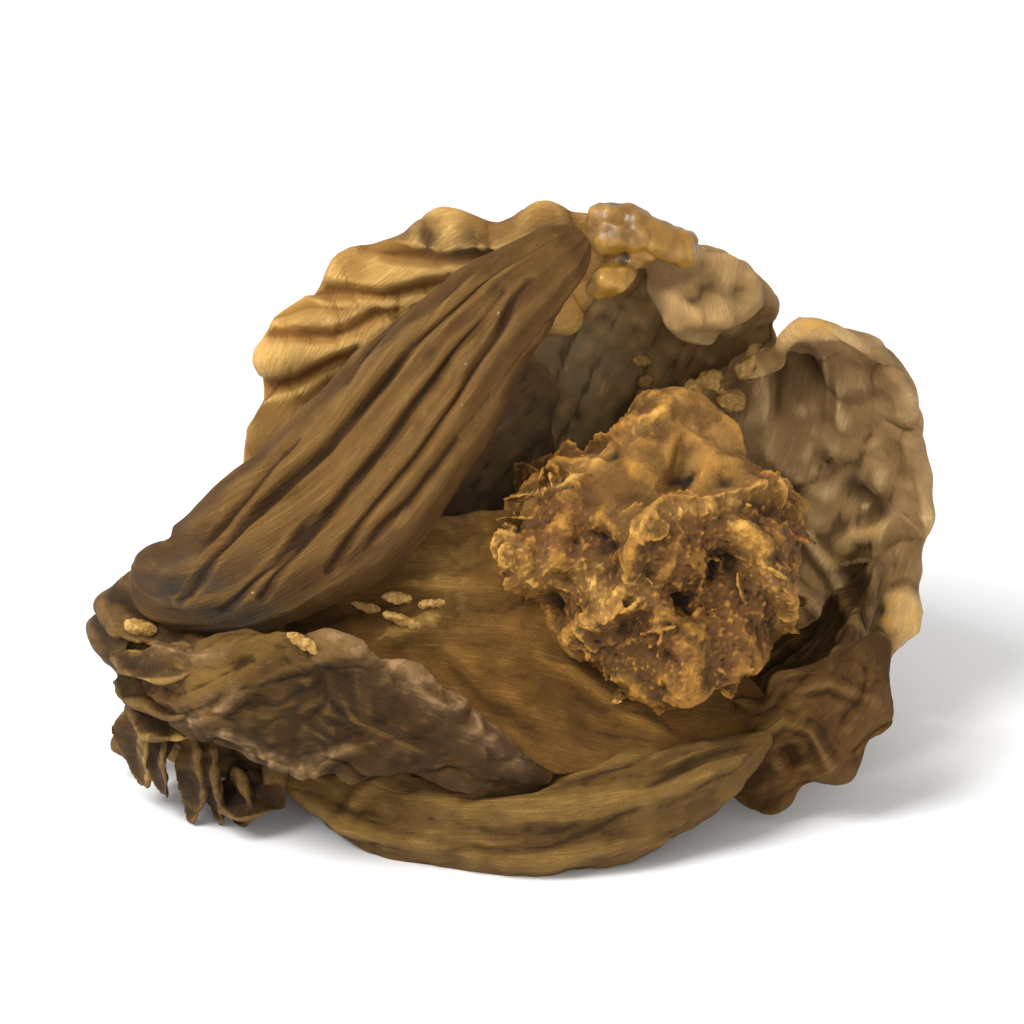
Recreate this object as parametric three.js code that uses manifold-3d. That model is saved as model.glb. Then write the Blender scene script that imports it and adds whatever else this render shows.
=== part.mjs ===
// A dried bulb of the lily Lilium polyphyllum, in millimetres with +Z up.
// It lies on its side. The basal plate is at the lower left, and the shrivelled scales rise from it to the
// right and open towards the front (-Y), where the crumbly heart of the bulb shows.
import * as THREE from 'three';
import { mergeVertices } from 'three/addons/utils/BufferGeometryUtils.js';
import Module from 'manifold-3d';

const wasm = await Module();
wasm.setup();

// Driving dimensions
const GAP = 0.3;
const AROUND = 20;
const ALONG = 14;
const LUMP_AROUND = 22;
const LUMP_ALONG = 15;
const POLE = 1e-6;
const CENTRE = { x: -0.12, y: -0.42 };
const FLOOR_BLOCK = 60;

// Colours of the dried skin, wet-looking where it is thin and grey where it is weathered
const BROWN = { color: 0x75572f, roughness: 0.72, metalness: 0 };
const ORANGE = { color: 0x9a6a30, roughness: 0.55, metalness: 0 };
const GREY = { color: 0x7d6647, roughness: 0.8, metalness: 0 };
const DARK = { color: 0x4f3b28, roughness: 0.75, metalness: 0 };
const CRUMB = { color: 0x93682f, roughness: 0.85, metalness: 0 };

function vector(p) {
  return new THREE.Vector3(p[0], p[1], p[2]);
}

// A value between the entries of a list that are spread evenly from 0 to 1
function along(list, t) {
  const place = Math.min(Math.max(t, 0), 1) * (list.length - 1);
  const i = Math.min(Math.floor(place), list.length - 2);
  const f = place - i;
  const smooth = f * f * (3 - 2 * f);
  return list[i] * (1 - smooth) + list[i + 1] * smooth;
}

// Gentle unevenness of about -1 to 1 that repeats nowhere near itself
function unevenness(p, size) {
  const a = Math.sin(p.x / size + 1.3 * Math.sin(p.y / size) + 0.7);
  const b = Math.sin(p.y / size + 1.1 * Math.sin(p.z / size + 0.4) + 2.1);
  const c = Math.sin(p.z / size + 1.2 * Math.sin(p.x / size + 1.9) + 4.0);
  return (a + b + c) / 3;
}

// The middle line of a scale's cross-section: it bends evenly by cup and more at the margins by roll
function sectionPoint(s, cup, roll) {
  const steps = 12;
  const point = { across: 0, lift: 0, angle: cup * s + roll * s ** 5 };
  for (let i = 0; i < steps; i += 1) {
    const at = (s * (i + 0.5)) / steps;
    const angle = cup * at + roll * at ** 5;
    point.across += (Math.cos(angle) * s) / steps;
    point.lift += (Math.sin(angle) * s) / steps;
  }
  return point;
}

// A shrivelled scale: a closed lens-shaped leaf that follows a spine from its base to its tip.
// Its face looks at facing, and a positive cup bends both margins towards that side.
function scaleGeometry(leaf, grow = 0) {
  const spine = leaf.spine.map(vector);
  const first = spine[0].clone().sub(spine[1]).normalize();
  const last = spine[spine.length - 1].clone().sub(spine[spine.length - 2]).normalize();
  spine[0].addScaledVector(first, grow);
  spine[spine.length - 1].addScaledVector(last, grow);
  const curve = new THREE.CatmullRomCurve3(spine, false, 'catmullrom', 0.5);
  const geometry = new THREE.SphereGeometry(1, leaf.around ?? AROUND, leaf.along ?? ALONG);
  const position = geometry.attributes.position;
  const v = new THREE.Vector3();
  for (let i = 0; i < position.count; i += 1) {
    v.fromBufferAttribute(position, i);
    const t = 1 - Math.acos(Math.min(1, Math.max(-1, v.y))) / Math.PI;
    const angle = Math.atan2(v.z, v.x);
    const taper = Math.sin(Math.PI * t);
    const blunt = taper < POLE ? 0 : taper ** (leaf.blunt ?? 0.5);
    const s = Math.cos(angle);
    const n = Math.sin(angle);
    const centre = curve.getPoint(t);
    const tangent = curve.getTangent(t);
    const facing = leaf.lookAt ? vector(leaf.lookAt).sub(centre) : vector(leaf.facing);
    if (leaf.away) facing.negate();
    facing.addScaledVector(tangent, -facing.dot(tangent)).normalize();
    const side = tangent.clone().cross(facing);
    const frill = (leaf.frill ?? 0) * Math.sin(2 * Math.PI * (leaf.lobes ?? 0) * t + s) * s ** 4;
    const half = (along(leaf.widths, t) + frill + grow) * blunt;
    const bend = sectionPoint(s, leaf.cup ?? 0, leaf.roll ?? 0);
    const furrow = Math.cos(Math.PI * (leaf.furrows ?? 0) * s + 2.2 * Math.sin(3 * t + 1));
    const thick = (along(leaf.thickness, t) + (leaf.furrowDepth ?? 0) * furrow + grow) * blunt;
    const lift = half * bend.lift + thick * n * Math.cos(bend.angle);
    const across = half * bend.across - thick * n * Math.sin(bend.angle);
    v.copy(centre).addScaledVector(side, across).addScaledVector(facing, lift);
    const wave = (leaf.crumple ?? 0) * unevenness(v, leaf.crumpleSize ?? 2) * blunt;
    v.addScaledVector(facing, wave);
    position.setXYZ(i, v.x, v.y, v.z);
  }
  return geometry;
}

// A rounded mass with an uneven skin and a few bumps, each pushed out along its own direction
function lumpGeometry(lump, grow = 0) {
  const geometry = new THREE.SphereGeometry(1, lump.around ?? LUMP_AROUND, lump.along ?? LUMP_ALONG);
  const turn = new THREE.Quaternion();
  turn.setFromUnitVectors(new THREE.Vector3(0, 1, 0), vector(lump.axis ?? [0, 0, 1]).normalize());
  const position = geometry.attributes.position;
  const v = new THREE.Vector3();
  const out = new THREE.Vector3();
  for (let i = 0; i < position.count; i += 1) {
    v.fromBufferAttribute(position, i);
    out.set(v.x * lump.radii[0], v.y * lump.radii[1], v.z * lump.radii[2]).applyQuaternion(turn);
    const direction = out.clone().normalize();
    let reach = out.length() + grow;
    for (const bump of lump.bumps ?? []) {
      const near = Math.max(0, direction.dot(vector(bump.towards).normalize()));
      reach += bump.height * near ** bump.sharp;
    }
    v.copy(direction).multiplyScalar(reach);
    reach += (lump.rough ?? 0) * unevenness(v, lump.roughSize ?? 1.5);
    v.copy(direction).multiplyScalar(reach).add(vector(lump.centre));
    position.setXYZ(i, v.x, v.y, v.z);
  }
  return geometry;
}

// The same mesh as a solid that can be joined and cut
function solid(geometry) {
  const bare = geometry.clone();
  bare.deleteAttribute('normal');
  bare.deleteAttribute('uv');
  const merged = mergeVertices(bare, 1e-4);
  const triVerts = new Uint32Array(merged.index.array);
  const vertProperties = new Float32Array(merged.attributes.position.array);
  return new wasm.Manifold(new wasm.Mesh({ numProp: 3, vertProperties, triVerts }));
}

// Cutting can leave chips, so the largest body is kept
function largest(shape) {
  const bodies = shape.decompose();
  bodies.sort((a, b) => b.volume() - a.volume());
  return bodies[0];
}

const long = {
  spine: [[-14.3, -3.8, 9.3], [-12.6, -4.8, 9.3], [-10, -5.5, 10.5], [-6.6, -5.1, 12.8], [-3.9, -3.9, 15.8],
    [-0.9, -2.2, 19], [1.4, -0.8, 20.6], [2.6, 0, 21.3]],
  facing: [-0.2, -0.9, 0.4],
  widths: [2.3, 2.6, 3.2, 3.5, 3.2, 2.4, 1.9, 1.5],
  thickness: [1.5, 1.6, 1.6, 1.5, 1.3, 1.0, 0.8, 0.6],
  blunt: 0.3,
  cup: -0.7,
  furrows: 5,
  furrowDepth: 0.16,
  crumple: 0.15,
};

const back = {
  spine: [[-9.8, -0.6, 6.5], [-7.7, 1.6, 10], [-5.6, 3.6, 13.3], [-3.2, 4.4, 15.8], [0.6, 3.6, 18.5], [4.4, 1.8, 20.8]],
  facing: [0.15, -0.95, 0.25],
  widths: [2.4, 3.8, 4.7, 4.5, 3.4, 2.0],
  thickness: [1.1, 1.2, 1.1, 1.1, 1.1, 1.0],
  blunt: 0.35,
  cup: 0.35,
  frill: 0.45,
  lobes: 6,
  crumple: 0.3,
  crumpleSize: 1.6,
};

const tipKnob = {
  centre: [4.6, 1.2, 21],
  axis: [1, 0, -0.25],
  radii: [1.2, 2.1, 1.3],
  rough: 0.25,
  roughSize: 0.8,
  around: 14,
  along: 10,
};

const inner = {
  spine: [[-8.4, -1.6, 6.4], [-4.8, 0.2, 9.4], [-1.6, 1.6, 12.4], [1.2, 2.2, 15]],
  facing: [0.1, -0.95, 0.3],
  widths: [2.2, 3.6, 3.8, 2.6],
  thickness: [0.9, 0.9, 0.8, 0.6],
  blunt: 0.4,
  cup: 0.5,
  frill: 0.2,
  lobes: 4,
  crumple: 0.25,
};

const upper = {
  spine: [[1, 5.4, 5], [3.6, 7, 10], [5.4, 7.2, 14.2], [6.6, 5.8, 17.2], [7.2, 3.5, 18.5], [7, 1.6, 17.8],
    [6.8, 0.9, 16.5]],
  lookAt: [5, 1, 12.5],
  widths: [2.4, 4.6, 4.9, 3.8, 2.8, 2.6, 2.4],
  thickness: [1.0, 1.0, 0.9, 0.9, 0.8, 0.7, 0.6],
  blunt: 0.35,
  cup: 0.3,
  crumple: 0.2,
};

const hood = {
  spine: [[-7, 1.5, 3.2], [-1.5, 4.2, 2.6], [4.4, 5.8, 2.8], [9.4, 6.2, 6], [11.1, 5.5, 10.4], [11.9, 4, 14.2],
    [11.6, 2.2, 16.6]],
  facing: [-0.15, -0.98, 0.1],
  widths: [1.8, 3.6, 5.6, 7, 6.6, 5.2, 4],
  thickness: [1.0, 1.1, 1.1, 1.1, 1.2, 1.3, 1.2],
  blunt: 0.35,
  cup: 0.65,
  roll: 0.8,
  frill: 0.3,
  lobes: 6,
  crumple: 0.35,
  crumpleSize: 1.7,
  around: 24,
  along: 17,
};

const core = {
  centre: [5.1, -3.8, 9.2],
  axis: [0.1, -0.2, 1],
  radii: [5.1, 5.2, 4.7],
  bumps: [
    { towards: [0.22, 0.3, 1], height: 1.9, sharp: 12 },
    { towards: [-1, -0.4, 0.45], height: 1.2, sharp: 8 },
    { towards: [0.35, -0.8, -0.5], height: 0.9, sharp: 6 },
    { towards: [0.9, -0.3, 0.6], height: 0.8, sharp: 8 },
  ],
  rough: 0.55,
  roughSize: 0.75,
  around: 26,
  along: 18,
};

const cradle = {
  spine: [[-10.4, -3, 6.2], [-5, -5, 7.1], [0, -6.2, 7.2], [5, -6.5, 5.8], [9.4, -5.8, 4.2]],
  facing: [0.1, -0.78, 0.6],
  widths: [2.6, 4.6, 5.2, 4.8, 2.6],
  thickness: [1.0, 1.0, 1.0, 0.9, 0.7],
  blunt: 0.4,
  cup: 0.45,
  crumple: 0.15,
};

const flap = {
  spine: [[-14, -5.2, 6.2], [-12, -8, 6.4], [-8.6, -9.6, 6.6], [-5.4, -10.3, 6], [-2.2, -10.6, 4.7],
    [1.4, -10.4, 3.7]],
  facing: [-0.15, -0.95, 0.3],
  widths: [1.5, 2.2, 2.7, 2.2, 1.5, 1.0],
  thickness: [0.8, 0.9, 0.8, 0.7, 0.6, 0.5],
  blunt: 0.4,
  cup: 0.2,
  roll: 0.5,
  frill: 0.2,
  lobes: 5,
  crumple: 0.5,
  crumpleSize: 1.1,
};

const lowerFront = {
  spine: [[-9, -6, 2.2], [-5.2, -8.7, 1.7], [-0.6, -10.2, 2], [3.4, -10.2, 2.4], [7, -9, 3.1],
    [9.6, -7.4, 4.1]],
  facing: [0, -0.9, 0.42],
  widths: [1.6, 2.1, 2.3, 2.3, 1.9, 1.2],
  thickness: [1.0, 1.2, 1.2, 1.1, 0.9, 0.6],
  blunt: 0.4,
  cup: -0.8,
  furrows: 3,
  furrowDepth: 0.12,
  crumple: 0.2,
};

const under = {
  spine: [[-8.4, -2.8, 2.4], [-3, -3, 1.1], [3, -2.6, 0.9], [8.6, -2, 1.9], [12.4, -1.6, 5], [13.8, -1.2, 8.6]],
  lookAt: [3, -1, 12],
  widths: [2.6, 4.6, 5.4, 5.2, 3.8, 2],
  thickness: [1.1, 1.2, 1.2, 1.1, 0.9, 0.7],
  blunt: 0.35,
  cup: 0.4,
  roll: 0.3,
  frill: 0.25,
  lobes: 5,
  crumple: 0.3,
};

const fringe = {
  spine: [[6.2, -4.6, 1.6], [9.4, -6, 2.8], [12, -6.2, 4.9], [13.9, -5, 7.2]],
  facing: [0.3, -0.9, 0.3],
  widths: [1.6, 2.3, 2.3, 1.3],
  thickness: [0.7, 0.7, 0.6, 0.5],
  blunt: 0.4,
  cup: 0.3,
  frill: 0.35,
  lobes: 4,
  crumple: 0.4,
  crumpleSize: 0.9,
  around: 18,
  along: 12,
};

const outerBack = {
  spine: [[-10.6, 1.8, 4.6], [-6.4, 6.2, 7], [-0.6, 8.8, 8.6], [5, 9.4, 10], [9.6, 8.4, 11.4], [12.4, 6.8, 12.4]],
  lookAt: [0, 0, 8],
  away: true,
  widths: [2.4, 4.8, 5.6, 5.2, 3.6, 2.0],
  thickness: [1.0, 1.2, 1.2, 1.1, 0.9, 0.6],
  blunt: 0.35,
  cup: -0.5,
  furrows: 5,
  furrowDepth: 0.14,
  crumple: 0.3,
};

const lowerBack = {
  spine: [[-10.4, 0.8, 2.2], [-5, 5.4, 2.2], [1.6, 8, 2.6], [7.6, 8, 3.8], [12.4, 6.2, 5.6], [15, 3.6, 7.4]],
  lookAt: [0, -1, 8],
  away: true,
  widths: [1.8, 3.3, 3.8, 3.6, 2.8, 1.6],
  thickness: [1.0, 1.2, 1.2, 1.1, 0.9, 0.6],
  blunt: 0.35,
  cup: -0.5,
  furrows: 4,
  furrowDepth: 0.14,
  crumple: 0.3,
};

const plate = {
  centre: [-10.4, -2.4, 4.8],
  axis: [-0.6, -0.25, -0.75],
  radii: [4.7, 3.4, 5.2],
  bumps: [
    { towards: [-0.9, -0.3, 0.35], height: 1.2, sharp: 10 },
    { towards: [-0.6, -0.7, -0.5], height: 0.8, sharp: 8 },
    { towards: [-0.2, 0.3, -1], height: 0.6, sharp: 6 },
  ],
  rough: 0.45,
  roughSize: 0.9,
};

// Broken ends of the roots, short and tapered, spread over the underside of the plate
const ROOTS = {
  axis: [-0.15, -0.35, -0.92],
  out: 2.9,
  count: 9,
  length: 2.6,
  thick: 0.75,
  thin: 0.5,
  spread: 3.9,
  splay: 0.35,
  sides: 6,
};

function rootStub(index) {
  const turn = index * 2.4;
  const out = vector(ROOTS.axis).normalize();
  const sideways = new THREE.Vector3(0, 1, 0).cross(out).normalize();
  const upward = out.clone().cross(sideways);
  const reach = ROOTS.spread * Math.sqrt((index + 0.5) / ROOTS.count);
  const stub = new THREE.CylinderGeometry(ROOTS.thin, ROOTS.thick, ROOTS.length, ROOTS.sides);
  const lean = out.clone();
  lean.addScaledVector(sideways, ROOTS.splay * Math.cos(turn));
  lean.addScaledVector(upward, ROOTS.splay * Math.sin(turn)).normalize();
  stub.applyQuaternion(new THREE.Quaternion().setFromUnitVectors(new THREE.Vector3(0, 1, 0), lean));
  const place = vector(plate.centre).addScaledVector(out, ROOTS.out);
  place.addScaledVector(sideways, reach * Math.cos(turn)).addScaledVector(upward, reach * Math.sin(turn));
  stub.translate(place.x, place.y, place.z);
  return stub;
}

function plateShape(grow = 0) {
  let shape = solid(lumpGeometry(plate, grow));
  for (let i = 0; i < ROOTS.count; i += 1) {
    shape = shape.add(solid(rootStub(i)));
  }
  return shape;
}

function backShape(grow = 0) {
  return solid(scaleGeometry(back, grow)).add(solid(lumpGeometry(tipKnob, grow)));
}

// Everything below the surface that the bulb lies on is cut away, so that it rests on small flat patches
function aboveFloor(shape) {
  const block = new THREE.BoxGeometry(FLOOR_BLOCK, FLOOR_BLOCK, FLOOR_BLOCK);
  block.translate(0, 0, -FLOOR_BLOCK / 2);
  return shape.subtract(solid(block));
}

// The pieces in the order in which they keep their shape: each is cut clear of those before it
const PIECES = [
  { name: 'broken_core', shape: (grow) => solid(lumpGeometry(core, grow)), look: CRUMB },
  { name: 'long_scale', shape: (grow) => solid(scaleGeometry(long, grow)), look: BROWN },
  { name: 'front_flap', shape: (grow) => solid(scaleGeometry(flap, grow)), look: DARK },
  { name: 'lower_front_scale', shape: (grow) => solid(scaleGeometry(lowerFront, grow)), look: BROWN },
  { name: 'fringe_scale', shape: (grow) => solid(scaleGeometry(fringe, grow)), look: BROWN },
  { name: 'cradle_scale', shape: (grow) => solid(scaleGeometry(cradle, grow)), look: ORANGE },
  { name: 'under_scale', shape: (grow) => solid(scaleGeometry(under, grow)), look: BROWN },
  { name: 'basal_plate', shape: plateShape, look: DARK },
  { name: 'hood_scale', shape: (grow) => solid(scaleGeometry(hood, grow)), look: GREY },
  { name: 'back_scale', shape: backShape, look: ORANGE },
  { name: 'inner_scale', shape: (grow) => solid(scaleGeometry(inner, grow)), look: BROWN },
  { name: 'upper_scale', shape: (grow) => solid(scaleGeometry(upper, grow)), look: GREY },
  { name: 'outer_back_scale', shape: (grow) => solid(scaleGeometry(outerBack, grow)), look: BROWN },
  { name: 'lower_back_scale', shape: (grow) => solid(scaleGeometry(lowerBack, grow)), look: BROWN },
];

function meshOf(shape, name, look) {
  const { triVerts, vertProperties } = shape.getMesh();
  const geometry = new THREE.BufferGeometry();
  geometry.setAttribute('position', new THREE.BufferAttribute(vertProperties, 3));
  geometry.setIndex(new THREE.BufferAttribute(triVerts, 1));
  geometry.computeVertexNormals();
  const mesh = new THREE.Mesh(geometry, new THREE.MeshStandardMaterial(look));
  mesh.name = name;
  return mesh;
}

const bulb = new THREE.Group();
bulb.position.set(-CENTRE.x, -CENTRE.y, 0);
const earlier = [];
for (const piece of PIECES) {
  let shape = aboveFloor(piece.shape(0));
  for (const room of earlier) {
    shape = shape.subtract(room);
  }
  bulb.add(meshOf(largest(shape), piece.name, piece.look));
  earlier.push(piece.shape(GAP));
}

export default bulb;
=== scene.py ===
# %% [markdown]
# # A dried lily bulb
# A dried lily bulb is a short stem disc, the basal plate, with fleshy leaves called scales growing from it.
# Drying shrinks each scale, so its skin falls into long furrows and its margin curls.
# The construction model already holds every scale at its real size. This lesson gives each of them its
# shrivelled skin, as a new mesh that stands for the plain solid and stays in its place.

# %% Load the frame
import math

import bpy
import numpy as np
from mathutils import Euler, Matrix
from mathutils import Vector
from mathutils import noise


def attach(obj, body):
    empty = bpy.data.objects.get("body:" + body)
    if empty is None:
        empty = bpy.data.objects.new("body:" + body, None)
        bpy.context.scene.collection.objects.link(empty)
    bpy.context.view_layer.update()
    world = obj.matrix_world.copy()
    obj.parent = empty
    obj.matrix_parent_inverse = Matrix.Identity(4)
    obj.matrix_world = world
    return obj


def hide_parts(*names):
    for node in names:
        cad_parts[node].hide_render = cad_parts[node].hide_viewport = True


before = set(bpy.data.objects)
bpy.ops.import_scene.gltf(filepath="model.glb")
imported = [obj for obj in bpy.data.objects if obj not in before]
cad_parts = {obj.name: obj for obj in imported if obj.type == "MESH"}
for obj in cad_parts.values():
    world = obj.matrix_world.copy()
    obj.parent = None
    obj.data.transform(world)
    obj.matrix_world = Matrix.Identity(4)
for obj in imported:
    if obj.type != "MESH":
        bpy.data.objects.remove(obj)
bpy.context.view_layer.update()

# %% [markdown]
# ## Measures
# Everything below is written in millimetres, because a bulb is measured so, and turned into metres when a
# mesh is filled. The construction model keeps its origin under the middle of the bulb, so the points of
# each scale, which were measured from the stem, are moved by the same offset.

# %% Measures
MM = 0.001
MIDDLE = np.array([-0.12, -0.42, 0.0])
SPLITS = 2


def metres(points):
    """Points measured from the stem in millimetres, as metres in the frame."""
    return (np.asarray(points) - MIDDLE) * MM


def store(mesh, name, values, kind="FLOAT"):
    """Keeps one value for each point of the mesh, for the finish to read."""
    layer = mesh.attributes.new(name, kind, "POINT")
    field = "vector" if kind == "FLOAT_VECTOR" else "value"
    layer.data.foreach_set(field, np.asarray(values, dtype=np.float32).ravel())


def select_only(piece):
    bpy.ops.object.select_all(action="DESELECT")
    piece.select_set(True)
    bpy.context.view_layer.objects.active = piece


# %% [markdown]
# ## Curves and unevenness
# A scale follows a spine, a smooth curve through a few points, and its width and thickness change gently
# from point to point. Blender's noise gives the unevenness that drying leaves. One kind, with a crease
# wherever the noise crosses zero, looks like shrunken skin: puffed ridges with sharp valleys between them.

# %% Curves and unevenness
def on_curve(points, t):
    """Places and directions on a smooth curve through the points, for t from 0 to 1."""
    p = np.asarray(points, dtype=float)
    place = np.clip(t, 0, 1) * (len(p) - 1)
    i = np.clip(np.floor(place).astype(int), 0, len(p) - 2)
    w = (place - i)[:, None]
    padded = np.vstack([2 * p[0] - p[1], p, 2 * p[-1] - p[-2]])
    before, start, end, after = (padded[i + k] for k in range(4))
    leave = (end - before) / 2
    arrive = (after - start) / 2
    square = 3 * (end - start) - 2 * leave - arrive
    cube = 2 * (start - end) + leave + arrive
    where = start + leave * w + square * w**2 + cube * w**3
    way = leave + 2 * square * w + 3 * cube * w**2
    return where, way / np.linalg.norm(way, axis=1)[:, None]


def gently(values, t):
    """A value between the entries of a list that are spread evenly from 0 to 1."""
    v = np.asarray(values, dtype=float)
    place = np.clip(t, 0, 1) * (len(v) - 1)
    i = np.clip(np.floor(place).astype(int), 0, len(v) - 2)
    f = place - i
    f = f * f * (3 - 2 * f)
    return v[i] * (1 - f) + v[i + 1] * f


def unevenness(p, size):
    """The slow swelling that the construction model has too, about -1 to 1."""
    x, y, z = (p / size).T
    a = np.sin(x + 1.3 * np.sin(y) + 0.7)
    b = np.sin(y + 1.1 * np.sin(z + 0.4) + 2.1)
    c = np.sin(z + 1.2 * np.sin(x + 1.9) + 4.0)
    return (a + b + c) / 3


def rough(p, size, seed=0.0, octaves=3):
    """Soft random noise, about -1 to 1, with lumps of the given size."""
    q = np.asarray(p) / np.asarray(size) + seed
    return np.array([noise.fractal(v, 0.7, 2.1, octaves) for v in q.tolist()])


def creased(p, size, seed=0.0):
    """Puffed ridges: -0.6 in the creases, about 0.4 on top, and near 0 on average."""
    return np.abs(rough(p, size, seed, 1)) ** 0.65 * 1.5 - 0.6


def step(low, high, values):
    """A soft step from 0 at low to 1 at high."""
    f = np.clip((values - low) / (high - low), 0, 1)
    return f * f * (3 - 2 * f)


# %% [markdown]
# ## A shrivelled scale
# By hand, a scale would be a sphere squashed to a leaf, bent along its length and then sculpted. The same
# is done here in code, because every furrow has to follow the scale from its base to its tip. A UV sphere
# is added, its poles become the base and the tip, and its rings are laid along the spine. The furrows are
# then pushed along the surface's own normals. The place across, along and through each scale is stored on
# its points as grain, so that the fibres of the material can follow it round every bend.

# %% A shrivelled scale
def section_line(s, cup, roll):
    """The bent middle line of a cross-section: how far across and how far lifted, and the slope."""
    steps = 12
    across = np.zeros_like(s)
    lift = np.zeros_like(s)
    for i in range(steps):
        at = s * (i + 0.5) / steps
        slope = cup * at + roll * at**5
        across += np.cos(slope) * s / steps
        lift += np.sin(slope) * s / steps
    return across, lift, cup * s + roll * s**5


def lay_along_spine(ball, leaf):
    """Where each point of a unit ball goes on the scale, and its grain and margin."""
    t = np.arccos(np.clip(-ball[:, 2], -1, 1)) / math.pi
    angle = np.arctan2(ball[:, 1], ball[:, 0])
    n = np.cos(angle)
    s = np.sin(angle)
    taper = np.maximum(np.sin(math.pi * t), 0)
    blunt = np.where(taper < 1e-6, 0, taper ** leaf.get("blunt", 0.5))
    centre, way = on_curve(leaf["spine"], t)
    if "look_at" in leaf:
        facing = np.asarray(leaf["look_at"]) - centre
    else:
        facing = np.tile(leaf["facing"], (len(t), 1))
    if leaf.get("away"):
        facing = -facing
    facing = facing - way * np.sum(facing * way, axis=1)[:, None]
    facing /= np.linalg.norm(facing, axis=1)[:, None]
    side = np.cross(way, facing)
    frill = leaf.get("frill", 0) * np.sin(2 * math.pi * leaf.get("lobes", 0) * t + s) * s**4
    half = (gently(leaf["widths"], t) + frill) * blunt
    across, lift, slope = section_line(s, leaf.get("cup", 0), leaf.get("roll", 0))
    furrow = np.cos(math.pi * leaf.get("furrows", 0) * s + 2.2 * np.sin(3 * t + 1))
    thick = (gently(leaf["thickness"], t) + leaf.get("furrow_depth", 0) * furrow) * blunt
    up = half * lift + thick * n * np.cos(slope)
    out = half * across - thick * n * np.sin(slope)
    place = centre + side * out[:, None] + facing * up[:, None]
    wave = leaf.get("crumple", 0) * unevenness(place, leaf.get("crumple_size", 2)) * blunt
    place = place + facing * wave[:, None]
    length = np.sum(np.linalg.norm(np.diff(np.asarray(leaf["spine"]), axis=0), axis=1))
    grain = np.stack([s * gently(leaf["widths"], t) * blunt, t * length, n * blunt], axis=1)
    return place, grain, np.abs(s), t


def normals_of(mesh):
    n = np.empty(len(mesh.vertices) * 3)
    mesh.vertex_normals.foreach_get("vector", n)
    return n.reshape(-1, 3)


def points_of(mesh):
    p = np.empty(len(mesh.vertices) * 3)
    mesh.vertices.foreach_get("co", p)
    return p.reshape(-1, 3)


def put_points(mesh, points):
    mesh.vertices.foreach_set("co", np.asarray(points).ravel())
    mesh.update()


# %% [markdown]
# ## Folds drawn by hand
# Noise gives a scale its shrivelled skin, but the folds that make this bulb look like itself are drawn one
# by one. They are drawn as they are seen from the front, slightly from above: u runs to the right of the
# stem and v upwards, both in millimetres. A fold is a line with a width and a height. It wanders a little
# and fades at its ends, because nothing dries in a straight line. Only the side of the skin that faces the
# eye is lifted or pressed, just as a modelling tool would do it.

# %% Folds drawn one by one
ELEVATION = math.radians(23)
SEEN_UP = np.array([0, math.sin(ELEVATION), math.cos(ELEVATION)])
TO_EYE = np.array([0, -math.cos(ELEVATION), math.sin(ELEVATION)])
WANDER = 0.16
WANDER_SIZE = 3.4
STRENGTH_SIZE = 1.6
AT_THE_ENDS = 0.35
FADE = 0.25
FALLOFF = 1.5


def seen(points):
    """Where points are seen from the front: to the right of the stem, and up."""
    return np.stack([points[:, 0], points @ SEEN_UP], axis=1)


def off_line(flat, path):
    """The distance of each point from a line through a path's corners, and how far along it that is."""
    best = np.full(len(flat), 1e9)
    along = np.zeros(len(flat))
    spans = list(zip(path[:-1], path[1:]))
    for i, (a, b) in enumerate(spans):
        a = np.asarray(a, dtype=float)
        way = np.asarray(b, dtype=float) - a
        share = np.clip((flat - a) @ way / (way @ way), 0, 1)
        gap = np.linalg.norm(flat - a - share[:, None] * way, axis=1)
        along = np.where(gap < best, (i + share) / len(spans), along)
        best = np.minimum(best, gap)
    return best, along


def draw_folds(place, normals, folds):
    """Height that the drawn folds add: each has a width, a height, whether it is sharp, and its path."""
    if not folds:
        return np.zeros(len(place))
    wander = np.stack([rough(place, WANDER_SIZE, 71.0, 2), rough(place, WANDER_SIZE, 73.0, 2)], axis=1)
    flat = seen(place) + WANDER * wander
    strength = np.clip(1.0 + 0.5 * rough(place, STRENGTH_SIZE, 79.0, 1), 0.5, 1.3)
    facing = step(0.0, 0.35, normals @ TO_EYE)
    height = np.zeros(len(place))
    for width, lift, sharp, path in folds:
        gap, along = off_line(flat, path)
        ends = AT_THE_ENDS + (1 - AT_THE_ENDS) * step(0.0, FADE, along) * step(1.0, 1.0 - FADE, along)
        d = gap / width
        shape = np.maximum(0, 1 - d) if sharp else np.exp(-d * d * FALLOFF)
        height += lift * shape * ends * facing
    return height * strength


def draw_marks(place, marks):
    """How much of a drawn patch each point gets, from 0 to 1; each mark has a width and a path."""
    flat = seen(place)
    mask = np.zeros(len(place))
    for width, path in marks:
        gap = off_line(flat, path)[0]
        mask = np.maximum(mask, np.exp(-FALLOFF * (gap / width) ** 2))
    return mask


# %% [markdown]
# ## Ridges and hollows
# Wear and dust lighten what stands out, and a highlight is painted there too; what lies deep is darkened
# with painted shade. How far each point stands out is measured on the finished mesh: the mesh is smoothed,
# and the height above the smooth one is stored, once for small folds and once for broad ones.

# %% Ridges and hollows
def smooth_points(mesh, points, rounds):
    """The points after each has been drawn towards its neighbours, a number of times."""
    ends = np.empty(len(mesh.edges) * 2, dtype=np.int64)
    mesh.edges.foreach_get("vertices", ends)
    a, b = ends.reshape(-1, 2).T
    count = np.bincount(a, minlength=len(points)) + np.bincount(b, minlength=len(points))
    for _ in range(rounds):
        sums = [np.bincount(a, points[b, k], len(points)) + np.bincount(b, points[a, k], len(points))
                for k in range(3)]
        total = np.stack(sums, axis=1)
        points = 0.4 * points + 0.6 * total / count[:, None]
    return points


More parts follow.
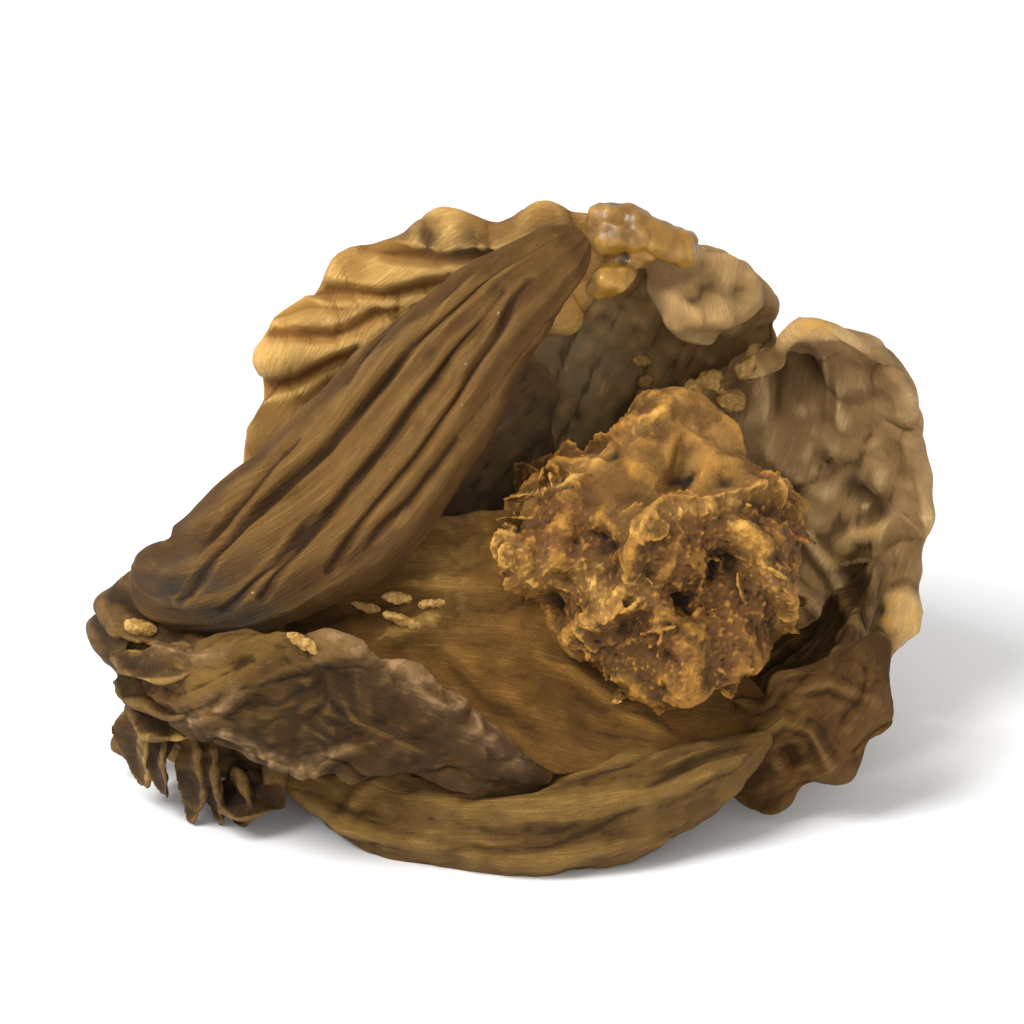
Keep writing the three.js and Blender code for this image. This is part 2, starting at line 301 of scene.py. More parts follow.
def store_relief(piece, small=(8, 0.05), broad=(70, 0.22)):
    """Stores fold and form, from 0 in the hollows over 0.5 on even skin to 1 on the ridges."""
    mesh = piece.data
    points = points_of(mesh) / MM
    normals = normals_of(mesh)
    for name, (rounds, full) in (("fold", small), ("form", broad)):
        proud = np.sum((points - smooth_points(mesh, points, rounds)) * normals, axis=1)
        store(mesh, name, np.clip(0.5 + 0.5 * proud / full, 0, 1))


# %% [markdown]
# ## Wrinkles
# A drying skin creases in several sizes at once, longer along the grain than across it. Three sizes of
# crease are added up with a few soft lumps. Scales that dry into parallel ribs get those too, swaying and
# fading so that no two are alike.

# %% Wrinkles
# Each row: the label, the usual height in millimetres, the share of the pitch across and of the run along,
# and a shift of the seed.
CREASES = [
    ("big", 0.4, 1.0, 1.0, 0),
    ("mid", 0.14, 0.45, 0.5, 9),
    ("fine", 0.04, 0.2, 0.25, 17),
]


def wrinkle(grain, place, leaf):
    """Height in millimetres that drying adds to the skin."""
    seed = leaf["seed"]
    pitch = leaf.get("pitch", 1.6)
    run = leaf.get("run", 8.0)
    drift = np.stack([rough(place, 3.5, seed), 0 * place[:, 0], rough(place, 3.5, seed + 5)], axis=1)
    q = grain + drift * leaf.get("drift", 0.5)
    height = np.zeros(len(place))
    for label, usual, across, along, shift in CREASES:
        size = (pitch * across, run * along, pitch * across)
        height += leaf.get(label, usual) * creased(q, size, seed + shift)
    height += leaf.get("lumps", 0.1) * rough(place, leaf.get("lump_size", 1.3), seed + 31, 2)
    if "ribs" in leaf:
        count, depth = leaf["ribs"]
        sway = 0.5 * rough(grain, (6, 14, 6), seed + 40)
        sway += 0.25 * rough(grain, (1.5, 9, 1.5), seed + 43)
        ridge = np.abs(np.sin(math.pi * (count * grain[:, 0] / 6 + sway))) ** 0.55
        fade = 0.35 + 0.65 * step(-0.5, 0.4, rough(grain, (1.4, 16, 1.4), seed + 51))
        height += depth * (ridge - 0.7) * fade
    return height


# %% [markdown]
# ## Making a scale
# Now the steps come together. A fine sphere is laid along the spine, wrinkled, folded and set on the floor.
# What the finish reads is stored on its points, and the piece takes the place of the plain solid.

# %% Making a scale
def fine_ball(name, around, rings):
    """A unit sphere with a few dozen faces each way, each of them split in four and then in four again."""
    bpy.ops.object.select_all(action="DESELECT")
    bpy.ops.mesh.primitive_uv_sphere_add(segments=around, ring_count=rings, radius=1)
    piece = bpy.context.object
    piece.name = name
    split = piece.modifiers.new("split", "SUBSURF")
    split.subdivision_type = "SIMPLE"
    split.levels = SPLITS
    split.render_levels = SPLITS
    bpy.ops.object.modifier_apply(modifier=split.name)
    points = points_of(piece.data)
    return piece, points / np.linalg.norm(points, axis=1)[:, None]


def on_floor(points):
    """What would reach below the surface that the bulb lies on is pressed flat against it."""
    return np.column_stack([points[:, :2], np.maximum(points[:, 2], 0)])


def make_scale(name, leaf, node, folds=(), pale_and_highlight=(), stain=()):
    """A scale from its measures, put in its node's place."""
    piece, ball = fine_ball(name, leaf["around"], leaf["rings"])
    mesh = piece.data
    place, grain, margin, t = lay_along_spine(ball, leaf)
    put_points(mesh, place)
    height = wrinkle(grain, place, leaf) * step(0, 0.25, np.sin(math.pi * t))
    height += draw_folds(place, normals_of(mesh), folds)
    put_points(mesh, metres(on_floor(place + normals_of(mesh) * height[:, None])))
    store(mesh, "grain", grain, "FLOAT_VECTOR")
    store(mesh, "margin", margin)
    store(mesh, "pale_and_highlight", draw_marks(place, pale_and_highlight))
    store(mesh, "stain", draw_marks(place, stain))
    store_relief(piece)
    bpy.ops.object.shade_smooth()
    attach(piece, "root")
    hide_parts(node)
    print(name, len(mesh.polygons), "faces")
    return piece


# %% [markdown]
# ## The long scale
# The long scale crosses the front, from a dark heel at the plate up to the top. It has shrunk to a thick
# rounded strap with a few narrow grooves. A sculptor would draw those with a crease brush, one long stroke
# each. They are drawn here in the same way, as sharp folds from heel to tip, over low ribs that run with the
# grain. The heel lies in shade, and it is marked so that the finish darkens it with painted shade.

# %% The long scale
LONG_FOLDS = [
    (0.3, -0.5, True, [(-12.5, 6.0), (-10.2, 8.8), (-7.0, 11.8), (-3.8, 15.5), (-1.0, 18.2), (1.2, 19.5)]),
    (0.3, -0.45, True, [(-9.5, 6.0), (-7.8, 8.2), (-5.0, 11.5), (-2.8, 14.5), (-0.5, 17.5)]),
    (0.28, -0.4, True, [(-7.0, 7.0), (-4.8, 9.8), (-2.8, 12.5), (-0.8, 15.8), (0.5, 17.8)]),
    (0.24, -0.25, True, [(-11.8, 7.8), (-9.8, 10.0), (-7.5, 12.5)]),
    (0.24, -0.25, True, [(-6.2, 14.0), (-3.8, 17.2), (-1.5, 19.0)]),
    (0.24, -0.25, True, [(-11.0, 5.5), (-9.0, 7.2), (-7.2, 9.5)]),
    (0.22, -0.2, True, [(-5.5, 7.8), (-4.0, 9.5), (-2.2, 12.0)]),
    (0.9, 0.25, False, [(-12.0, 8.8), (-9.0, 11.2), (-5.5, 14.5), (-2.0, 17.8)]),
]
# Painted shade on the heel, where it lies in shade at the foot of the flap.
HEEL_SHADE = [
    (2.4, [(-13.8, 6.5), (-11.5, 6.0), (-10.2, 5.0)]),
]
long_scale = make_scale("long_scale_skin", {
    "spine": [[-14.3, -3.8, 9.3], [-12.6, -4.8, 9.3], [-10, -5.5, 10.5], [-6.6, -5.1, 12.8],
              [-3.9, -3.9, 15.8], [-0.9, -2.2, 19], [1.4, -0.8, 20.6], [2.6, 0, 21.3]],
    "facing": [-0.2, -0.9, 0.4],
    "widths": [2.3, 2.6, 3.2, 3.5, 3.2, 2.4, 1.9, 1.5],
    "thickness": [1.5, 1.6, 1.6, 1.5, 1.3, 1.0, 0.8, 0.6],
    "blunt": 0.3, "cup": -0.7, "furrows": 5, "furrow_depth": 0.09, "crumple": 0.15,
    "around": 50, "rings": 60, "seed": 3.1, "pitch": 2.4, "run": 30, "big": 0.15, "mid": 0.08,
    "fine": 0.015, "drift": 0.25, "lumps": 0.05, "ribs": [4, 0.11],
    "slot": "brown_skin",
}, "long_scale", LONG_FOLDS, stain=HEEL_SHADE)

# %% [markdown]
# ## The back scale
# Behind it stands a broad scale, thin and leathery, whose margin has dried into rounded lobes. The frill of
# its section makes the lobes. A soft fold is drawn inwards from each of them, with a sharp crease beside
# it, because a lobe that dries pulls its own pleat.

# %% The back scale
BACK_FOLDS = [
    (0.9, 0.4, False, [(-3.5, 19.8), (-1.0, 19.2), (1.5, 19.6)]),
    (0.9, 0.5, False, [(-6.2, 18.4), (-4.0, 18.2), (-1.5, 18.8)]),
    (1.0, 0.5, False, [(-9.0, 16.6), (-6.5, 16.9), (-3.8, 17.6)]),
    (1.0, 0.45, False, [(-10.1, 14.9), (-7.5, 15.2), (-5.0, 16.5)]),
    (0.45, -0.5, True, [(-5.5, 19.2), (-3.0, 18.8), (0.0, 18.9)]),
    (0.45, -0.55, True, [(-8.0, 17.6), (-5.0, 17.5), (-2.2, 18.1)]),
    (0.45, -0.55, True, [(-10.2, 16.0), (-7.0, 16.0), (-4.5, 17.0)]),
    (0.45, -0.5, True, [(-10.8, 13.6), (-8.2, 14.2), (-6.2, 15.5)]),
]
# Darker patches along the top margin and at the left margin.
BACK_DARK_PATCHES = [
    (1.3, [(-3.8, 19.8), (-1.0, 19.2), (2.0, 19.5)]),
    (1.0, [(-10.2, 13.5), (-9.5, 12.0)]),
]
back_scale = make_scale("back_scale_skin", {
    "spine": [[-9.8, -0.6, 6.5], [-7.7, 1.6, 10], [-5.6, 3.6, 13.3], [-3.2, 4.4, 15.8], [0.6, 3.6, 18.5],
              [4.4, 1.8, 20.8]],
    "facing": [0.15, -0.95, 0.25],
    "widths": [2.4, 3.8, 4.7, 4.5, 3.4, 2.0],
    "thickness": [1.1, 1.2, 1.1, 1.1, 1.1, 1.0],
    "blunt": 0.35, "cup": 0.35, "frill": 0.45, "lobes": 6, "crumple": 0.3, "crumple_size": 1.6,
    "around": 45, "rings": 50, "seed": 8.4, "pitch": 3.4, "run": 3.2, "big": 0.42, "mid": 0.12,
    "fine": 0.012, "lumps": 0.14, "lump_size": 2.2,
    "slot": "amber_skin",
}, "back_scale", BACK_FOLDS, stain=BACK_DARK_PATCHES)

# %% [markdown]
# ## The inner scale
# A dark scale closes the bottom of the hollow. It is almost hidden, so it has fewer faces than the others
# and no folds of its own.

# %% The inner scale
inner_scale = make_scale("inner_scale_skin", {
    "spine": [[-8.4, -1.6, 6.4], [-4.8, 0.2, 9.4], [-1.6, 1.6, 12.4], [1.2, 2.2, 15]],
    "facing": [0.1, -0.95, 0.3],
    "widths": [2.2, 3.6, 3.8, 2.6],
    "thickness": [0.9, 0.9, 0.8, 0.6],
    "blunt": 0.4, "cup": 0.5, "frill": 0.2, "lobes": 4, "crumple": 0.25,
    "around": 30, "rings": 28, "seed": 12.7, "pitch": 2.0, "run": 9, "big": 0.2, "mid": 0.08,
    "slot": "brown_skin",
}, "inner_scale")

# %% [markdown]
# ## The upper scale
# A greyish scale backs the hollow, and its tip has folded forward over it. The spine makes that bend: it
# climbs, turns over and comes down again. A paler grey patch is marked on the wall of the hollow: partly the
# wall's own grey tone, partly painted light where the wall lies in shade.

# %% The upper scale
UPPER_FOLDS = [
    (0.45, -0.3, False, [(6.2, 18.5), (8.0, 17.5), (9.2, 17.8)]),
    (0.5, 0.3, False, [(5.5, 17.8), (7.0, 16.5), (9.0, 16.4)]),
    (0.5, -0.35, False, [(6.5, 17.0), (7.8, 18.2)]),
]
# Partly the wall's own grey tone, partly painted light where the wall of the hollow lies in shade.
UPPER_WALL_TONE_AND_LIGHT = [
    (2.6, [(1.2, 15.5), (3.2, 14.5), (2.2, 12.2)]),
]
upper_scale = make_scale("upper_scale_skin", {
    "spine": [[1, 5.4, 5], [3.6, 7, 10], [5.4, 7.2, 14.2], [6.6, 5.8, 17.2], [7.2, 3.5, 18.5],
              [7, 1.6, 17.8], [6.8, 0.9, 16.5]],
    "look_at": [5, 1, 12.5],
    "widths": [2.4, 4.6, 4.9, 3.8, 2.8, 2.6, 2.4],
    "thickness": [1.0, 1.0, 0.9, 0.9, 0.8, 0.7, 0.6],
    "blunt": 0.35, "cup": 0.3, "crumple": 0.2,
    "around": 38, "rings": 42, "seed": 15.2, "pitch": 2.6, "run": 7, "big": 0.24, "mid": 0.05, "fine": 0.02,
    "lumps": 0.14, "lump_size": 1.3, "ribs": [3, 0.16],
    "slot": "grey_skin",
}, "upper_scale", UPPER_FOLDS, stain=UPPER_WALL_TONE_AND_LIGHT)

# %% [markdown]
# ## The hood scale
# The hood is the broadest scale, cupped like a spoon, with a margin that rolls in. The roll grows with the
# fifth power of the distance from the middle, so it stays at the margin. The dark hollow under the rim and
# the soft folds below it are drawn, the hollows are darkened with painted shade, and the worn golden rim is
# marked as pale.

# %% The hood scale
HOOD_FOLDS = [
    (0.5, 0.5, False, [(8.8, 14.5), (9.5, 15.4), (10.5, 16.0), (12.0, 16.2)]),
    (1.2, -1.5, False, [(9.2, 13.8), (10.5, 14.0), (11.8, 14.4)]),
    (1.2, 0.35, False, [(12.0, 13.5), (13.5, 13.8)]),
    (0.35, -0.4, False, [(11.8, 11.2), (11.9, 11.1)]),
    (0.4, -0.35, False, [(12.8, 10.2), (13.5, 9.5), (13.5, 8.8)]),
    (0.8, 0.3, False, [(8.8, 12.0), (10.2, 11.5), (11.5, 10.5), (11.8, 9.2)]),
    (0.35, 0.35, True, [(10.5, 7.8), (11.2, 8.2), (12.0, 7.0), (12.5, 5.8), (13.2, 4.8)]),
    (0.35, 0.3, True, [(10.2, 7.2), (11.0, 6.0), (12.0, 5.0)]),
    (0.9, -0.9, False, [(12.8, 7.2), (13.0, 6.0)]),
    (0.5, 0.5, False, [(12.2, 7.5), (13.0, 8.4), (13.8, 8.5), (14.0, 7.8)]),
    (0.6, 0.6, False, [(14.5, 6.5), (14.8, 5.5), (14.5, 4.5)]),
]
HOOD_PALE = [
    (0.5, [(8.8, 14.5), (9.5, 15.4), (10.5, 16.0), (11.5, 16.2)]),
    (0.4, [(12.2, 7.5), (13.0, 8.4), (13.8, 8.5)]),
    (0.5, [(14.5, 6.5), (14.8, 5.5), (14.5, 4.5)]),
]
# Painted shade in the hollow under the rim and in the pits and creases below it.
HOOD_SHADE = [
    (1.3, [(8.8, 13.9), (10.2, 14.1), (12.0, 13.5)]),
    (0.8, [(12.8, 7.8), (13.2, 6.0)]),
    (0.5, [(11.8, 11.5), (12.0, 10.8)]),
    (0.6, [(12.8, 10.2), (13.8, 9.2), (13.5, 8.5)]),
]
hood_scale = make_scale("hood_scale_skin", {
    "spine": [[-7, 1.5, 3.2], [-1.5, 4.2, 2.6], [4.4, 5.8, 2.8], [9.4, 6.2, 6], [11.1, 5.5, 10.4],
              [11.9, 4, 14.2], [11.6, 2.2, 16.6]],
    "facing": [-0.15, -0.98, 0.1],
    "widths": [1.8, 3.6, 5.6, 7, 6.6, 5.2, 4],
    "thickness": [1.0, 1.1, 1.1, 1.1, 1.2, 1.3, 1.2],
    "blunt": 0.35, "cup": 0.65, "roll": 0.8, "frill": 0.3, "lobes": 6, "crumple": 0.35, "crumple_size": 1.7,
    "around": 60, "rings": 55, "seed": 21.9, "pitch": 3.8, "run": 6, "big": 0.3, "mid": 0.03, "fine": 0.02,
    "drift": 0.9, "lumps": 0.22, "lump_size": 1.9, "ribs": [3, 0.12],
    "slot": "grey_skin",
}, "hood_scale", HOOD_FOLDS, pale_and_highlight=HOOD_PALE, stain=HOOD_SHADE)

# %% [markdown]
# ## The cradle scale
# The heart lies on a smooth scale, bent like a cradle. Its skin has kept its shine and has only low waves.
# Two ridges and a shallow groove are drawn where it shows in front of the heart.

# %% The cradle scale
# Painted light: a paler band where the smooth scale is lit beside the long scale, and a thin edge that glows
# orange as if lit through.
CRADLE_LIT = [
    (1.5, [(-2.2, 8.5), (-2.8, 6.0)]),
    (0.35, [(-5.0, 4.5), (-3.8, 5.0), (-2.8, 5.5)]),
]
CRADLE_FOLDS = [
    (0.5, 0.25, True, [(1.0, 3.8), (2.5, 3.0), (3.8, 2.0), (5.2, 1.2)]),
    (0.5, -0.2, False, [(-3.0, 4.0), (-1.2, 2.5), (0.8, 1.2)]),
    (0.5, 0.25, True, [(-5.0, 4.5), (-3.8, 5.0), (-2.8, 5.5)]),
]
cradle_scale = make_scale("cradle_scale_skin", {
    "spine": [[-10.4, -3, 6.2], [-5, -5, 7.1], [0, -6.2, 7.2], [5, -6.5, 5.8], [9.4, -5.8, 4.2]],
    "facing": [0.1, -0.78, 0.6],
    "widths": [2.6, 4.6, 5.2, 4.8, 2.6],
    "thickness": [1.0, 1.0, 1.0, 0.9, 0.7],
    "blunt": 0.4, "cup": 0.45, "crumple": 0.15,
    "around": 38, "rings": 42, "seed": 27.3, "pitch": 2.6, "run": 9, "big": 0.2, "mid": 0.07, "fine": 0.01,
    "lumps": 0.2, "lump_size": 2.2,
    "slot": "amber_skin",
}, "cradle_scale", CRADLE_FOLDS, pale_and_highlight=CRADLE_LIT)

# %% [markdown]
# ## The front flap
# A thin dark flap has crumpled like paper across the lower left. Noise alone would crumple it evenly, but on
# the bulb one broad fold runs down its upper edge and a thin one along its lower edge. Those two are drawn,
# with smaller ones between them, and the finish paints highlights along them and on a few bright spots, and
# a glow where light shines through a thin edge.

# %% The front flap
FLAP_FOLDS = [
    (0.4, 0.35, True, [(-15.2, 4.5), (-13.0, 4.0), (-11.0, 3.8), (-9.5, 4.5), (-8.2, 5.1)]),
    (0.8, 0.7, False, [(-7.0, 4.8), (-5.5, 4.0), (-4.0, 3.0), (-3.0, 2.0), (-1.5, 1.0), (0.2, 0.0)]),
    (0.3, 0.35, True, [(-7.0, 4.8), (-5.5, 4.0), (-4.0, 3.0), (-3.0, 2.0), (-1.5, 1.0)]),
    (0.4, 0.4, True, [(-10.8, 1.0), (-9.5, 0.2), (-8.5, -0.2), (-7.8, -0.4), (-6.2, 0.4), (-5.0, 0.8)]),
    (0.4, 0.25, True, [(-10.2, 2.5), (-8.5, 3.5), (-6.8, 3.8)]),
    (0.7, -0.5, False, [(-7.8, 2.8), (-5.8, 3.0)]),
    (0.5, -0.15, False, [(-10.5, 3.1), (-9.5, 3.8)]),
    (0.35, 0.35, True, [(-14.5, 2.8), (-12.5, 2.1), (-10.5, 2.9), (-8.5, 4.0)]),
    (0.3, 0.2, True, [(-7.0, 1.8), (-5.2, 1.1), (-3.0, 0.2)]),
    (0.4, 0.35, True, [(-12.0, 1.5), (-10.8, 2.0), (-10.0, 3.0)]),
]
FLAP_STAIN = [
    (2.3, [(-14.8, 3.8), (-13.0, 3.0), (-11.0, 3.5)]),
    (1.4, [(-11.0, 3.8), (-9.0, 4.6), (-7.0, 4.8)]),
]
# Painted highlights: the pale ridge lines and bright spots along the folds, and a thin edge at the lower
# left that glows orange as if lit through.
FLAP_HIGHLIGHTS = [
    (0.6, [(-7.0, 4.8), (-5.5, 4.0), (-4.0, 3.0), (-3.0, 2.0), (-1.5, 1.0), (0.0, 0.1)]),
    (0.4, [(-8.5, 5.1), (-7.2, 4.0)]),
    (0.45, [(-12.0, 1.5), (-10.8, 2.0)]),
    (0.3, [(-10.8, 1.0), (-8.5, -0.2), (-6.2, 0.4)]),
    (0.4, [(-15.0, 4.5), (-13.0, 4.0), (-11.0, 3.8)]),
    (0.5, [(-12.2, 1.5), (-10.2, 2.5)]),
]
front_flap = make_scale("front_flap_skin", {
    "spine": [[-14, -5.2, 6.2], [-12, -8, 6.4], [-8.6, -9.6, 6.6], [-5.4, -10.3, 6], [-2.2, -10.6, 4.7],
              [1.4, -10.4, 3.7]],
    "facing": [-0.15, -0.95, 0.3],
    "widths": [1.5, 2.2, 2.7, 2.2, 1.5, 1.0],
    "thickness": [0.8, 0.9, 0.8, 0.7, 0.6, 0.5],
    "blunt": 0.4, "cup": 0.2, "roll": 0.5, "frill": 0.2, "lobes": 5, "crumple": 0.5, "crumple_size": 1.1,
    "around": 35, "rings": 55, "seed": 33.8, "pitch": 1.9, "run": 4.5, "big": 0.3, "mid": 0.14,
    "fine": 0.04, "drift": 0.9,
    "slot": "dark_skin",
}, "front_flap", FLAP_FOLDS, pale_and_highlight=FLAP_HIGHLIGHTS, stain=FLAP_STAIN)

# %% [markdown]
# ## The lower front scale
# Another shrunken strap lies along the bottom of the front. It is made like the long scale, with a rounded
# section, ribs along the grain and a few drawn ridges and grooves.

# %% The lower front scale
LOWER_FOLDS = [
    (0.4, 0.3, True, [(-6.5, -2.5), (-5.5, -1.2), (-3.8, -0.2), (-0.5, -0.5), (2.0, 0.5), (4.0, 1.5)]),
    (0.35, -0.35, True, [(-2.0, -1.5), (0.8, -0.8), (2.8, 0.0), (4.5, 1.0)]),
    (0.3, -0.5, True, [(3.0, 0.2), (4.0, 0.8), (5.0, 1.0)]),
    (0.35, -0.25, True, [(4.5, -1.0), (7.0, 0.0), (9.0, 0.5)]),
    (0.6, 0.25, False, [(0.0, -2.0), (2.8, -2.0), (5.8, -1.2), (8.0, -0.2)]),
]
lower_front_scale = make_scale("lower_front_scale_skin", {
    "spine": [[-9, -6, 2.2], [-5.2, -8.7, 1.7], [-0.6, -10.2, 2], [3.4, -10.2, 2.4], [7, -9, 3.1],
              [9.6, -7.4, 4.1]],
    "facing": [0, -0.9, 0.42],
    "widths": [1.6, 2.1, 2.3, 2.3, 1.9, 1.2],
    "thickness": [1.0, 1.2, 1.2, 1.1, 0.9, 0.6],
    "blunt": 0.4, "cup": -0.8, "furrows": 3, "furrow_depth": 0.12, "crumple": 0.2,
    "around": 35, "rings": 55, "seed": 39.5, "pitch": 1.8, "run": 16, "big": 0.2, "mid": 0.1, "fine": 0.03,
    "drift": 0.3, "ribs": [4, 0.2],
    "slot": "brown_skin",
}, "lower_front_scale", LOWER_FOLDS)

# %% [markdown]
# ## The fringe scale
# A small ragged scale sticks out at the lower right. It is short and strongly crumpled, so its folds run
# round it rather than along it.

# %% The fringe scale
FRINGE_FOLDS = [
    (0.35, 0.4, True, [(8.5, -0.5), (9.2, 0.8), (10.0, 1.5), (11.2, 1.0), (11.8, -0.2)]),
    (0.6, -0.5, False, [(10.2, 0.5), (10.5, -0.5)]),
    (0.35, 0.35, True, [(10.2, 2.5), (11.8, 2.8), (13.2, 2.2)]),
]
fringe_scale = make_scale("fringe_scale_skin", {
    "spine": [[6.2, -4.6, 1.6], [9.4, -6, 2.8], [12, -6.2, 4.9], [13.9, -5, 7.2]],
    "facing": [0.3, -0.9, 0.3],
    "widths": [1.6, 2.3, 2.3, 1.3],
    "thickness": [0.7, 0.7, 0.6, 0.5],
    "blunt": 0.4, "cup": 0.3, "frill": 0.35, "lobes": 4, "crumple": 0.4, "crumple_size": 0.9,
    "around": 30, "rings": 32, "seed": 44.1, "pitch": 2.0, "run": 3.6, "big": 0.3, "mid": 0.1,
    "slot": "brown_skin",
}, "fringe_scale", FRINGE_FOLDS)

# %% [markdown]
# ## The under scale
# The heart's own bed is a scale that shows only as a dark edge at the right. Its spine turns up at the tip,
# and it faces the heart all along.

# %% The under scale
UNDER_FOLDS = [
    (0.4, 0.4, True, [(11.8, 7.8), (12.2, 6.5), (12.8, 5.0)]),
    (0.5, -0.4, False, [(12.8, 7.0), (13.2, 5.5)]),
]
UNDER_PALE = [
    (0.3, [(11.8, 7.8), (12.2, 6.5), (12.8, 5.0)]),
    (0.25, [(13.2, 7.5), (13.8, 6.0)]),
]
under_scale = make_scale("under_scale_skin", {
    "spine": [[-8.4, -2.8, 2.4], [-3, -3, 1.1], [3, -2.6, 0.9], [8.6, -2, 1.9], [12.4, -1.6, 5],
              [13.8, -1.2, 8.6]],
    "look_at": [3, -1, 12],
    "widths": [2.6, 4.6, 5.4, 5.2, 3.8, 2],
    "thickness": [1.1, 1.2, 1.2, 1.1, 0.9, 0.7],
    "blunt": 0.35, "cup": 0.4, "roll": 0.3, "frill": 0.25, "lobes": 5, "crumple": 0.3,
    "around": 38, "rings": 40, "seed": 49.6, "pitch": 1.7, "run": 6, "big": 0.35, "mid": 0.14,
    "slot": "brown_skin",
}, "under_scale", UNDER_FOLDS, pale_and_highlight=UNDER_PALE)

# %% [markdown]
# ## The outer back scale
# Two outer scales close the back, and they are what the bulb shows from behind. They face away from its
# middle. Both are furrowed along their length, as outer scales are, because they dry first.

# %% The outer back scale
outer_back_scale = make_scale("outer_back_scale_skin", {
    "spine": [[-10.6, 1.8, 4.6], [-6.4, 6.2, 7], [-0.6, 8.8, 8.6], [5, 9.4, 10], [9.6, 8.4, 11.4],
              [12.4, 6.8, 12.4]],
    "look_at": [0, 0, 8], "away": True,
    "widths": [2.4, 4.8, 5.6, 5.2, 3.6, 2.0],
    "thickness": [1.0, 1.2, 1.2, 1.1, 0.9, 0.6],
    "blunt": 0.35, "cup": -0.5, "furrows": 5, "furrow_depth": 0.14, "crumple": 0.3,
    "around": 36, "rings": 42, "seed": 55.3, "pitch": 1.7, "run": 10, "big": 0.4, "mid": 0.14, "fine": 0.04,
    "slot": "brown_skin",
}, "outer_back_scale")

# %% [markdown]
# ## The lower back scale
# The second outer scale lies below the first and reaches further towards the tips.

# %% The lower back scale
lower_back_scale = make_scale("lower_back_scale_skin", {
    "spine": [[-10.4, 0.8, 2.2], [-5, 5.4, 2.2], [1.6, 8, 2.6], [7.6, 8, 3.8], [12.4, 6.2, 5.6],
              [15, 3.6, 7.4]],
    "look_at": [0, -1, 8], "away": True,
    "widths": [1.8, 3.3, 3.8, 3.6, 2.8, 1.6],
    "thickness": [1.0, 1.2, 1.2, 1.1, 0.9, 0.6],
    "blunt": 0.35, "cup": -0.5, "furrows": 4, "furrow_depth": 0.14, "crumple": 0.3,
    "around": 32, "rings": 40, "seed": 61.8, "pitch": 1.6, "run": 10, "big": 0.4, "mid": 0.14, "fine": 0.04,
    "slot": "brown_skin",
}, "lower_back_scale")


# %% [markdown]
# ## The lumps
# The heart and the basal plate aren't leaves. Each starts as a sphere whose points are moved out or in
# along their own directions, as clay is pulled about.

# %% The lumps
def turned_to(axis):
    """The turn that brings +Z onto an axis, as a 3 by 3 matrix."""
    turn = Vector((0, 0, 1)).rotation_difference(Vector(axis).normalized())
    return np.array(turn.to_matrix())


def lump_reach(direction, size, lump):
    """How far the lump's skin is from its centre, in each direction."""
    reach = size.copy()
    for towards, height, sharp in lump["bumps"]:
        aim = np.asarray(towards, dtype=float)
        aim /= np.linalg.norm(aim)
        reach += height * np.maximum(0, direction @ aim) ** sharp
    return reach + lump["rough"] * unevenness(direction * reach[:, None], lump["rough_size"])


def pull_out(ball, lump):
    """The points of a unit ball, moved out to the lump's skin."""
    radii = np.asarray(lump["radii"], dtype=float)
    spread = ball * radii[[0, 2, 1]]
    out = spread @ turned_to(lump["axis"]).T
    size = np.linalg.norm(out, axis=1)
    direction = out / size[:, None]
    return direction * lump_reach(direction, size, lump)[:, None] + np.asarray(lump["centre"])


def add_lump(name, lump, around, rings):
    piece, ball = fine_ball(name, around, rings)
    put_points(piece.data, metres(pull_out(ball, lump)))
    return piece


CORE = {
    "centre": [5.1, -3.8, 9.2],
    "axis": [0.1, -0.2, 1],
    "radii": [5.1, 5.2, 4.7],
    "bumps": [([0.22, 0.3, 1], 1.9, 12), ([-1, -0.4, 0.45], 1.2, 8), ([0.35, -0.8, -0.5], 0.9, 6),
              ([0.9, -0.3, 0.6], 0.8, 8)],
    "rough": 0.55,
    "rough_size": 0.75,
}
PLATE = {
    "centre": [-10.4, -2.4, 4.8],
    "axis": [-0.6, -0.25, -0.75],
    "radii": [4.7, 3.4, 5.2],
    "bumps": [([-0.9, -0.3, 0.35], 1.2, 10), ([-0.6, -0.7, -0.5], 0.8, 8), ([-0.2, 0.3, -1], 0.6, 6)],
    "rough": 0.45,
    "rough_size": 0.9,
}


# %% [markdown]
# ## Many forms, one skin
# Flakes, bracts, roots and crumbs are small closed forms that cut into each other. Joined as they are, they
# would show hard seams. Blender's voxel remesh fuses them into one skin of even faces, and a light smoothing
# takes away its steps. The last fine relief is laid on after that.

# %% Many forms, one skin
def copies(name, pattern, places):
    """One mesh of many copies of a small closed form, each with its own 3 by 3 matrix and centre."""
    corners = points_of(pattern.data)
    faces = np.array([list(f.vertices) for f in pattern.data.polygons])
    points = np.concatenate([corners @ turn.T + centre for turn, centre in places])
    shifts = np.repeat(np.arange(len(places)) * len(corners), len(faces))[:, None]
    mesh = bpy.data.meshes.new(name)
    mesh.from_pydata(points, [], np.tile(faces, (len(places), 1)) + shifts)
    made = bpy.data.objects.new(name, mesh)
    bpy.context.collection.objects.link(made)
    return made


def fuse(piece, others, size):
    """Joins closed forms and turns them into one skin of even small faces."""
    select_only(piece)
    for other in others:
        other.select_set(True)
    if others:
        bpy.ops.object.join()
    skin = piece.modifiers.new("skin", "REMESH")
    skin.mode = "VOXEL"
    skin.voxel_size = size * MM
    bpy.ops.object.modifier_apply(modifier=skin.name)
    soften = piece.modifiers.new("soften", "SMOOTH")
    soften.factor = 0.5
    soften.iterations = 2
    bpy.ops.object.modifier_apply(modifier=soften.name)


